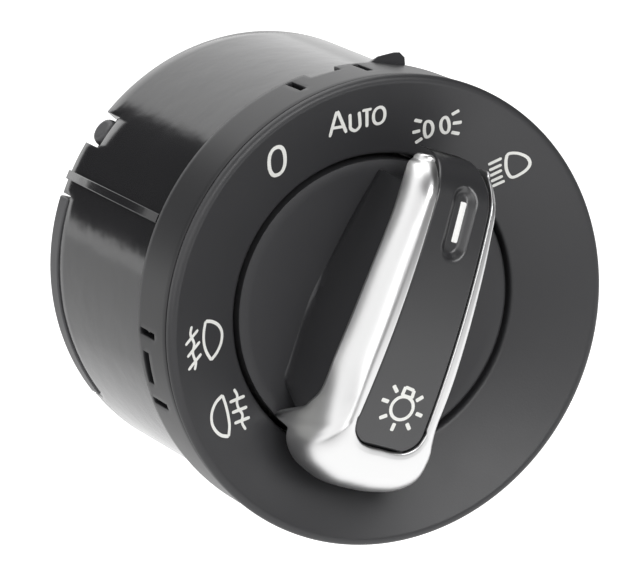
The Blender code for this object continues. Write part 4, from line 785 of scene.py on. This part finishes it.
# The grip's foot on the disc, from the bow to the nose, as (away from the middle, along) in mm.
GRIP_FOOT = [
    (0.0, -20.3), (2.6, -20.2), (5.4, -19.2), (7.2, -17.8), (8.0, -16.8),
    (8.5, -16.0), (9.3, -15.3), (10.4, -14.0), (10.4, -11.2), (10.3, -6.0),
    (10.0, -0.8), (8.5, 8.0), (7.2, 14.2), (5.9, 19.6),
]
left_edge = smooth_line(np.array(LEFT_EDGE) * MM, PARTS)
right_edge = smooth_line(np.array(RIGHT_EDGE) * MM, PARTS)
foot = smooth_line(np.array(GRIP_FOOT) * MM, PARTS)


def disc_height(radius):
    """Height of the disc: a parabola over the dish, and flat beyond it."""
    return KNOB_FACE_H - DISH_DEEP * (1.0 - (radius / DISH_R) ** 2).clip(0.0, 1.0)


disc_r = np.linspace(0.0, DISH_R, 24)
disc_rear = rounded(
    [
        (KNOB_R, KNOB_FACE_H),
        (KNOB_R, SKIRT_REAR_H),
        (SKIRT_IN_R, SKIRT_REAR_H),
        (SKIRT_IN_R, DISC_UNDER_H),
        (STEM_R, DISC_UNDER_H),
        (STEM_R, NECK_FRONT_H),
        (NECK_R, NECK_FRONT_H),
        (NECK_R, NECK_REAR_H),
        (STEM_R, NECK_REAR_H),
        (STEM_R, STEM_REAR_H),
        (0.02 * MM, STEM_REAR_H),
    ],
    [0.22 * MM] + [0.2 * MM] * 9 + [0.001 * MM],
)
disc_outline = np.vstack([np.column_stack([disc_r, disc_height(disc_r)]), disc_rear[:-3], (0.0, STEM_REAR_H)])

CORE_SINK_H = 5.9 * MM
FOOT_FILLET = 0.6 * MM
FLANK_ROW = 6 * PARTS
LEDGE = 0.2 * MM
CORE_LIP = 0.35 * MM


def half_core(lower):
    """One side of the grip under the trim: a crown, a straight flank and a fillet on the disc."""
    span = len(foot)
    flanked = (np.arange(span) > FLANK_ROW)[:, None]
    inside = inner_edge[:span]
    edge = lower[:span, :2]
    away = (edge - inside) / np.linalg.norm(edge - inside, axis=1, keepdims=True)
    core_top = (grip_top(inside[:, 1]) - INSERT_SUNK - INSERT_THICK - SEAT_GAP)[:, None]
    ledge = np.where(flanked, lower[:span, 2:] + LEDGE, CORE_SINK_H + 0.5 * MM)
    reach = np.where(flanked, edge - away * (TRIM_THICK + SEAT_GAP), foot)
    lip = np.where(flanked, edge - away * CORE_LIP, foot)
    disc_at = disc_height(np.linalg.norm(foot, axis=1, keepdims=True))
    core = [np.hstack([inside * (0.0, 1.0), core_top]), np.hstack([inside, core_top])]
    for turn in np.radians(np.linspace(10.0, 90.0, 8)):
        flat = inside + (reach - inside) * np.sin(turn)
        core.append(np.hstack([flat, core_top - (core_top - ledge) * (1.0 - np.cos(turn))]))
    core.append(np.hstack([lip, ledge - np.where(flanked, 0.0, LEDGE)]))
    outward = (foot - lip) / np.linalg.norm(foot - lip, axis=1, keepdims=True).clip(1e-6, None)
    for share in np.linspace(0.15, 0.85, 5):
        core.append(np.hstack([lip + (foot - lip) * share, ledge + (disc_at - ledge) * share]))
    for share in np.linspace(0.0, 1.0, 5):
        flat = foot + outward * FOOT_FILLET * (share - 0.35)
        core.append(np.hstack([flat, disc_at + FOOT_FILLET * 0.75 * (1.0 - share) ** 2 - 0.03 * MM]))
    sunk = np.full((span, 1), CORE_SINK_H)
    core.append(np.hstack([foot + outward * FOOT_FILLET * 0.65, sunk]))
    core.append(np.hstack([foot * (0.0, 1.0), sunk]))
    return np.stack(core, 1)


def both_sides(left, right):
    """World places of two sides' rows; the left one is mirrored, and they share the middle row."""
    rows = np.concatenate([left[::-1] * (-1.0, 1.0, 1.0), right[1:]])
    return on_knob(*np.moveaxis(rows, -1, 0))


core_grid = both_sides(half_core(left_edge), half_core(right_edge))
knob_abs = plastic("grained_black_knob_abs", "#343436", 0.46, 0.35 * MM, 0.008 * MM)
make_piece(
    "knob_moulding",
    [turned(disc_outline, closed=False), lofted(core_grid)],
    knob_abs,
    "knob",
    ["knob_body"],
)


# Trim: the bright U round the insert, moulded and plated in satin chrome. A flat land runs round
# the insert, then a crease, then a full flank that rolls under at its lower edge. A small fin at the
# left foot runs down to the disc, and both ends are rounded.

LAND = 0.95 * MM
CREASE = np.radians(5.0)
LIP = 0.3 * MM
INNER_ROUND = 0.25 * MM
INNER_WALL = 0.9 * MM
NARROW_ROW = 12.0 * PARTS
NARROW_ROWS = 3.0 * PARTS
FIN_ROW = 5.85 * PARTS
FIN_ROWS = 0.95 * PARTS
FIN_OUT = 0.9 * MM
FIN_DOWN = 4.6 * MM
FIN_START = 0.68
LEG_ROW = 6.5 * PARTS
LEG_ROWS = 5.0 * PARTS
ARC_SHARE = 0.3
SHOULDER = 0.85 * MM
SHOULDER_TURN = np.radians(20.0)
STEEPEST = np.radians(86.0)
END_ROUND = 0.9 * MM


def smooth_share(share):
    """From 0 to 1 along 3s^2 - 2s^3, and held there outside."""
    share = share.clip(0.0, 1.0)
    return share**2 * (3.0 - 2.0 * share)


def leg_flank(share, out_end, fall_end):
    """The leg's flank as (out, fall): an arc over the shoulder, then a curve to the lower edge.

    The curve is (1-t)^2 A + 2t(1-t) B + t^2 C; B is where the lines along its two ends meet. It
    starts a set turn short of its chord and ends a little past it.
    """
    first_out = np.minimum(SHOULDER, 0.4 * out_end)
    start = np.arctan2(fall_end, out_end) - SHOULDER_TURN
    radius = first_out / np.sin(start)
    if share < ARC_SHARE:
        turn = start * share / ARC_SHARE
        return radius * np.sin(turn), radius * (1.0 - np.cos(turn))
    first_fall = radius * (1.0 - np.cos(start))
    chord = np.arctan2(fall_end - first_fall, out_end - first_out)
    last = np.minimum(chord + 0.6 * (chord - start), STEEPEST)
    cross = np.cos(start) * np.sin(last) - np.sin(start) * np.cos(last)
    run = ((out_end - first_out) * np.sin(last) - (fall_end - first_fall) * np.cos(last)) / cross
    t = (share - ARC_SHARE) / (1.0 - ARC_SHARE)
    bend_out = first_out + run * np.cos(start)
    bend_fall = first_fall + run * np.sin(start)
    return (
        (1 - t) ** 2 * first_out + 2 * t * (1 - t) * bend_out + t**2 * out_end,
        (1 - t) ** 2 * first_fall + 2 * t * (1 - t) * bend_fall + t**2 * fall_end,
    )


def half_trim(lower, fin):
    """One side of the trim, row by row from the middle of the bow to the rounded end of the leg."""
    row = np.arange(len(inner_edge))[:, None]
    inside = inner_edge
    edge = lower[:, :2]
    width = np.linalg.norm(edge - inside, axis=1, keepdims=True)
    away = (edge - inside) / width
    top = grip_top(inside[:, 1])[:, None]
    low = np.minimum(lower[:, 2:] + LIP, top - TRIM_THICK)
    to_nose = ((row - NARROW_ROW) / NARROW_ROWS).clip(0.0, 1.0)
    land = np.minimum(LAND, width / 2) * (1.0 - 0.5 * to_nose)
    on_leg = smooth_share((row - LEG_ROW) / LEG_ROWS + 0.5)
    fin_share = fin * smooth_share(1.0 - abs(row - FIN_ROW) / FIN_ROWS)
    fin_fall = np.minimum(FIN_DOWN * fin_share, low - KNOB_FACE_H - LIP - SEAT_GAP)

    def trim_point(out_by, height):
        """Places of one line of the trim: a way out from its inner edge, and a height."""
        return np.hstack([inside + away * out_by, np.broadcast_to(height, row.shape)])

    trim = [trim_point(0.15 * MM, top - TRIM_THICK), trim_point(0.0, top - INNER_WALL)]
    for turn in np.radians(np.linspace(0.0, 90.0, 5)):
        height = top - INNER_ROUND * (1.0 - np.sin(turn))
        trim.append(trim_point(INNER_ROUND * (1.0 - np.cos(turn)), height))
    trim.append(trim_point(land * 0.6, top))
    trim.append(trim_point(land * 0.94, top))
    # The bow's flank is a quarter ellipse.
    for share in np.linspace(0.0, 1.0, 30):
        turn = CREASE + (np.pi / 2 - CREASE) * share
        out_by = (width - land) * (np.sin(turn) - np.sin(CREASE)) / (1.0 - np.sin(CREASE))
        fall = (top - low) * (np.cos(CREASE) - np.cos(turn)) / np.cos(CREASE)
        leg_out, leg_fall = leg_flank(share, width - land, top - low)
        on_fin = ((share - FIN_START) / (1.0 - FIN_START)).clip(0.0, 1.0) ** 2
        out_by = out_by + (leg_out - out_by) * on_leg + FIN_OUT * fin_share * on_fin
        fall = fall + (leg_fall - fall) * on_leg + fin_fall * on_fin
        trim.append(trim_point(land + out_by, top - fall))
    width = width + FIN_OUT * fin_share
    low = low - fin_fall
    for turn in np.radians(np.linspace(30.0, 180.0, 6)):
        trim.append(trim_point(width - LIP + LIP * np.cos(turn), low - LIP * np.sin(turn)))
    under = top - TRIM_THICK
    for turn in np.radians(np.linspace(75.0, 15.0, 6)):
        out_by = land + (width - 2 * LIP - land) * np.sin(turn)
        trim.append(trim_point(out_by, under - (under - low) * (1.0 - np.cos(turn))))
    side = np.stack(trim, 1)
    # The end shrinks towards its section's middle along a quarter circle.
    middle = side[-1].mean(0)
    turn = np.radians([15.0, 30.0, 45.0, 58.0, 69.0, 78.0, 84.0, 88.0])[:, None, None]
    end_rows = middle + (side[-1] - middle) * np.cos(turn) ** 0.5
    return np.concatenate([side, end_rows + END_ROUND * np.sin(turn) * np.array([0.0, 1.0, 0.0])])


trim_grid = both_sides(half_trim(left_edge, 1.0), half_trim(right_edge, 0.0))
satin_chrome = metal("satin_chrome_plate", "#eaeaea", 0.33, 1.5 * MM, 0.01)
make_piece("trim_plating", [lofted(trim_grid)], satin_chrome, "knob", ["knob_trim"])


# Insert: a dark strip pressed into the trim, moulded in soft-touch painted ABS. It rolls down over
# the nose, and a shallow round-ended groove holds the pointer.

POINTER_V = 16.35 * MM
POINTER_ACROSS = 0.68 * MM
GROOVE_V = 16.2 * MM
GROOVE_ACROSS = 0.25 * MM
GROOVE_HALF = 2.2 * MM
GROOVE_FLOOR_HALF = 0.85 * MM
GROOVE_STRAIGHT = 3.4 * MM
GROOVE_DEEP = 1.15 * MM
EDGE_ROUND = 0.35 * MM
INSERT_GROWN = 0.25 * MM
CORNER = 3.4 * MM
NOSE_TAPER = 1.2 * MM
NOSE_FOOT_H = 11.4 * MM


def groove_depth(across, along):
    """Depth of the pointer's groove: a smooth step from its rim down to its floor."""
    beyond = (abs(along - GROOVE_V) - GROOVE_STRAIGHT).clip(0.0, None)
    share = (GROOVE_HALF - np.hypot(across - GROOVE_ACROSS, beyond)) / (GROOVE_HALF - GROOVE_FLOOR_HALF)
    return GROOVE_DEEP * smooth_share(share)


edge_turn = np.radians(np.linspace(0.0, 90.0, 7))
corner_turn = np.radians(np.linspace(22.0, 90.0, 12))
along = np.unique(
    np.concatenate(
        [
            INSERT_START + EDGE_ROUND * (1.0 - np.cos(edge_turn)),
            INSERT_START + CORNER * (1.0 - np.cos(corner_turn)),
            np.linspace(-14.6 * MM, NOSE_START, 110),
            NOSE_START + NOSE_LONG * np.sin(np.radians(np.linspace(4.0, 80.0, 22))),
        ]
    )
)[:, None]
from_end = (along - INSERT_START).clip(0.02 * MM, CORNER)
past_start = ((along - NOSE_START) / NOSE_LONG).clip(0.0, 1.0)
half = insert_half(along) + INSERT_GROWN - CORNER + np.sqrt(CORNER**2 - (CORNER - from_end) ** 2)
half = half - NOSE_TAPER * past_start**2
flat_part = (half - EDGE_ROUND) * np.linspace(-1.0, 1.0, 61)
side_round = half - EDGE_ROUND + EDGE_ROUND * np.sin(edge_turn[1:])
across = np.concatenate([-side_round[:, ::-1], flat_part, side_round], 1)
edge_drop = EDGE_ROUND * (1.0 - np.cos(edge_turn[1:]))
drop = np.concatenate([edge_drop[::-1], np.zeros(61), edge_drop])
end_left = ((EDGE_ROUND - (along - INSERT_START)) / EDGE_ROUND).clip(0.0, 1.0)
end_drop = EDGE_ROUND * (1.0 - np.sqrt(1.0 - end_left**2))
top_height = grip_top(along) - INSERT_SUNK - np.maximum(drop, end_drop) - groove_depth(across, along)
under_across = half * np.linspace(1.0, -1.0, 9)
under_height = np.broadcast_to(grip_top(along) - INSERT_SUNK - INSERT_THICK, under_across.shape)
across = np.concatenate([across, under_across], 1)
height = np.concatenate([top_height, under_height], 1)
insert_grid = on_knob(across, along, height)
insert_foot = on_knob(across[-1:], along[-1:], NOSE_FOOT_H)
# Soft-touch paint over ABS: a deep matt black with a broad, even sheen.
insert_abs = plastic("soft_touch_black", "#2c2c2e", 0.34, 0.3 * MM, 0.004 * MM, gloss=1.0)
make_piece(
    "insert_strip",
    [lofted(np.concatenate([insert_grid, insert_foot]))],
    insert_abs,
    "knob",
    ["knob_insert"],
)


# Pointer window: a bar of white acrylic, moulded on its own and pushed up through the insert. It
# is level with the groove's floor and lit from inside.

white_acrylic = plastic("white_acrylic", "#f4f4f2", 0.30, 0.5 * MM, 0.002 * MM)
window_loop = rounded([(-0.5, -3.0), (0.5, -3.0), (0.5, 3.0), (-0.5, 3.0)], 0.2, 5) * MM
window_rows = np.array([(-2.6, 1.0), (0.03, 1.0), (0.09, 0.97), (0.12, 0.88)]) * (MM, 1.0)
window = window_loop * window_rows[:, 1, None, None]
window_along = POINTER_V + window[..., 1]
window_top = grip_top(window_along) - INSERT_SUNK - GROOVE_DEEP
window_grid = on_knob(POINTER_ACROSS + window[..., 0], window_along, window_top + window_rows[:, :1])
make_piece("pointer_bar", [lofted(window_grid)], white_acrylic, "knob", ["pointer_window"])


# Symbols: off-white ink, pad printed on the bezel's cone and on the insert. Each stroke is a
# ribbon with rounded ends that lies on the face.

INK_THICK = 0.02 * MM
ink = plastic("off_white_ink", "#e6e6e2", 0.45, 0.2 * MM, 0.003 * MM)


def stroke_grid(line, closed, wide, place, layer):
    """A ribbon along a line of (right, up) points in mm; place turns flat points into world ones.

    Each layer lies a thousandth of a millimetre over the one before, where strokes cross.
    """
    if closed:
        ahead = np.roll(line, -1, axis=0) - np.roll(line, 1, axis=0)
    else:
        ahead = np.gradient(line, axis=0)
    ahead /= np.linalg.norm(ahead, axis=1, keepdims=True)
    side = np.column_stack([-ahead[:, 1], ahead[:, 0]])
    half = np.full(len(line), wide / 2)
    if not closed:
        run = np.concatenate([[0.0], np.cumsum(np.linalg.norm(np.diff(line, axis=0), axis=1))])
        near = np.minimum(run, run[-1] - run) / (wide * 0.3)
        half = half * (0.62 + 0.38 * np.sqrt(1.0 - (1.0 - near.clip(0.0, 1.0)) ** 2))
    to_side = half[:, None] * np.array([-1.0, 1.0, 1.0, -1.0])
    flat = line[:, None, :] + side[:, None, :] * to_side[..., None]
    rise = np.array([1.0, 1.0, -1.0, -1.0]) * (INK_THICK + 0.001 * MM * layer)
    return place(flat * MM, rise), closed, True, None, not closed


def on_bezel(flat, rise):
    """Flat points laid on the bezel's cone."""
    return front(flat[..., 0], flat[..., 1], bezel_face(np.hypot(flat[..., 0], flat[..., 1])) + rise)


def on_insert(flat, rise):
    """Flat points laid on the insert."""
    return on_knob(flat[..., 0], flat[..., 1], grip_top(flat[..., 1]) - INSERT_SUNK + rise)


def bars(*rows):
    """Straight strokes; a row has one end's right and up, then the other's, then the width."""
    share = np.linspace(0.0, 1.0, 12)[:, None]
    return [(row[:2] * (1.0 - share) + row[2:4] * share, False, row[4]) for row in np.array(rows, float)]


def bent(wide, parts, *points):
    """A stroke along a smooth line through points; it is closed if the last point is the first."""
    line = smooth_line(points, parts)
    closed = points[0] == points[-1]
    return (line[:-1] if closed else line), closed, wide


def leaning(x, y, lean, middle):
    """Flat points turned clockwise by some degrees and moved to their middle."""
    c, s = np.cos(np.radians(lean)), np.sin(np.radians(lean))
    return np.column_stack([x * c + y * s, y * c - x * s]) + middle


def oval(middle, half, wide, power=2.0, lean=0.0, count=64):
    """A closed stroke along an oval: |x/a|^n + |y/b|^n = 1."""
    turn = np.linspace(0.0, 2.0 * np.pi, count, endpoint=False)
    c, s = np.cos(turn), np.sin(turn)
    x = half[0] * np.sign(c) * abs(c) ** (2.0 / power)
    y = half[1] * np.sign(s) * abs(s) ** (2.0 / power)
    return leaning(x, y, lean, middle), True, wide


def lamp(middle, bow, lens, high, hand, lean, wide, count=72):
    """A closed stroke round a lamp's side view: half ovals on both sides of its tips' line."""
    turn = np.linspace(0.0, 2.0 * np.pi, count, endpoint=False)
    c, s = np.cos(turn), np.sin(turn)
    x = hand * np.where(c > 0, bow, lens) * np.sign(c) * abs(c) ** 0.9
    return leaning(x, high / 2 * s, lean, middle), True, wide


strokes = {
    "mark_off": [oval((-12.58, 26.72), (1.42, 2.33), 0.62, 2.3, -4.0)],
    "mark_automatic": [
        *bars(
            (-3.40, 27.65, -2.36, 31.65, 0.52), (-2.20, 31.65, -0.62, 27.52, 0.52),
            (-3.00, 29.02, -1.10, 28.72, 0.48), (1.92, 30.42, 3.42, 30.30, 0.46),
            (2.66, 30.3, 2.76, 27.45, 0.50),
        ),
        oval((4.68, 28.82), (0.92, 1.38), 0.48, 2.2, -3.0),
        bent(
            0.50, 8, (-0.12, 30.5), (-0.02, 28.9), (0.08, 28.0), (0.85, 27.42),
            (1.55, 27.9), (1.56, 28.9), (1.38, 30.42),
        ),
    ],
    "mark_parking": [
        lamp((12.28, 24.35), 0.88, 0.42, 2.65, 1, -2.0, 0.48),
        lamp((15.08, 24.35), 0.72, 0.52, 2.65, -1, -6.0, 0.48),
        *bars(
            (10.30, 26.45, 11.45, 25.88, 0.55), (10.02, 24.42, 11.22, 24.40, 0.55),
            (10.50, 22.52, 11.58, 23.05, 0.55), (15.98, 25.85, 17.12, 26.28, 0.55),
            (16.15, 24.35, 17.50, 24.22, 0.55), (15.95, 22.92, 17.15, 22.35, 0.55),
        ),
    ],
    "mark_low_beam": [
        bent(
            0.46, 6, (23.95, 17.1), (24.4, 17.38), (25.6, 17.1), (26.8, 16.2), (27.15, 15.1), (26.6, 14.2),
            (25.4, 13.55), (24.6, 13.4), (24.15, 13.8), (23.8, 14.9), (23.78, 16.2), (23.95, 17.1),
        ),
        *bars(
            (21.25, 16.22, 23.20, 16.85, 0.46), (21.35, 15.25, 23.15, 15.80, 0.46),
            (21.42, 14.32, 23.15, 14.90, 0.46), (21.52, 13.38, 23.22, 13.92, 0.46),
            (21.66, 12.55, 23.45, 13.08, 0.46),
        ),
    ],
    "mark_front_fog": [
        bent(
            0.5, 8, (-27.8, 6.3), (-26.6, 5.75), (-25.5, 4.75), (-25.05, 3.4),
            (-25.5, 2.0), (-26.6, 0.9), (-27.9, 0.25),
        ),
        bent(0.5, 8, (-27.9, 0.25), (-28.55, 1.8), (-28.72, 3.3), (-28.45, 4.8), (-27.8, 6.3)),
        *bars(
            (-32.25, 4.28, -29.45, 5.62, 0.46), (-32.25, 2.42, -29.45, 3.76, 0.46),
            (-32.45, 0.50, -29.55, 1.90, 0.46),
        ),
        bent(
            0.46, 6, (-30.55, 6.6), (-31.0, 5.6), (-30.75, 4.6), (-30.6, 3.8),
            (-31.1, 2.7), (-31.0, 1.8), (-30.85, 1.0), (-31.3, 0.05),
        ),
    ],
    "mark_rear_fog": [
        bent(
            0.5, 8, (-27.1, -5.55), (-28.6, -6.1), (-29.7, -7.2), (-30.1, -8.6),
            (-29.75, -9.9), (-28.9, -10.95), (-27.65, -11.6),
        ),
        bent(0.5, 8, (-27.65, -11.6), (-27.05, -10.2), (-26.85, -8.5), (-26.9, -6.9), (-27.1, -5.55)),
        *bars(
            (-26.05, -7.05, -23.05, -7.25, 0.46), (-26.05, -8.65, -23.05, -8.90, 0.46),
            (-26.05, -10.25, -23.05, -10.48, 0.46),
        ),
        bent(
            0.46, 6, (-24.75, -5.55), (-24.4, -6.6), (-24.75, -7.7), (-24.65, -8.6),
            (-24.25, -9.6), (-24.65, -10.7), (-24.3, -11.85),
        ),
    ],
}
for name, lines in strokes.items():
    printed = [stroke_grid(*line, on_bezel, layer) for layer, line in enumerate(lines)]
    make_piece(name, printed, ink, "root")

bulb_lines = [
    oval((0.55, -11.95), (1.78, 1.78), 0.5),
    *bars(
        (-0.15, -8.75, 1.40, -8.98, 0.5), (-0.20, -10.05, 1.50, -10.15, 0.5),
        (-0.15, -8.72, -0.22, -10.10, 0.55), (1.40, -8.95, 1.48, -10.20, 0.55),
        (-2.12, -8.95, -1.15, -9.85, 0.6), (-3.15, -11.40, -1.92, -11.50, 0.6),
        (-2.40, -14.20, -1.32, -13.50, 0.6), (0.35, -14.38, 0.30, -15.62, 0.6),
        (2.25, -13.95, 3.10, -14.80, 0.6), (3.05, -12.20, 4.20, -12.35, 0.6),
        (2.30, -10.40, 3.20, -9.50, 0.6),
    ),
]
printed = [stroke_grid(*line, on_insert, layer) for layer, line in enumerate(bulb_lines)]
make_piece("mark_bulb", printed, ink, "knob")


# Inside: the rotor, rings, springs, board and lamps only show through gaps, so they keep their CAD
# shapes. They get their real finishes: acetal, spring steel, fibreglass, brass and clear plastic.

acetal = plastic("natural_acetal", "#e6e4d8", 0.38, 1.0 * MM, 0.004 * MM)
fibreglass = plastic("green_solder_mask", "#1d5a38", 0.35, 0.7 * MM, 0.006 * MM)
spring_steel = metal("drawn_spring_steel", "#b4b4b8", 0.33, 0.4 * MM)
clear_guide = plastic("clear_polycarbonate", "#d8dcdc", 0.12, 2.0 * MM, 0.002 * MM)
finishes = [
    (acetal, ["rotor", "detent_ring", "release_ring", "fog_slider"]),
    (spring_steel, ["detent_plunger", "detent_spring", "knob_return_spring"]),
    (spring_steel, ["latch_spring_upper", "latch_spring_lower"]),
    (fibreglass, ["circuit_board", "fog_contact_card"]),
    (tinned_brass, ["wiper_contact", "fog_wiper"]),
    (clear_guide, ["light_guide"]),
    (white_acrylic, [f"symbol_led_{number}" for number in (1, 2, 3, 4)]),
]
for finish, nodes in finishes:
    for node in nodes:
        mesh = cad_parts[node].data
        mesh.materials.clear()
        mesh.materials.append(finish)
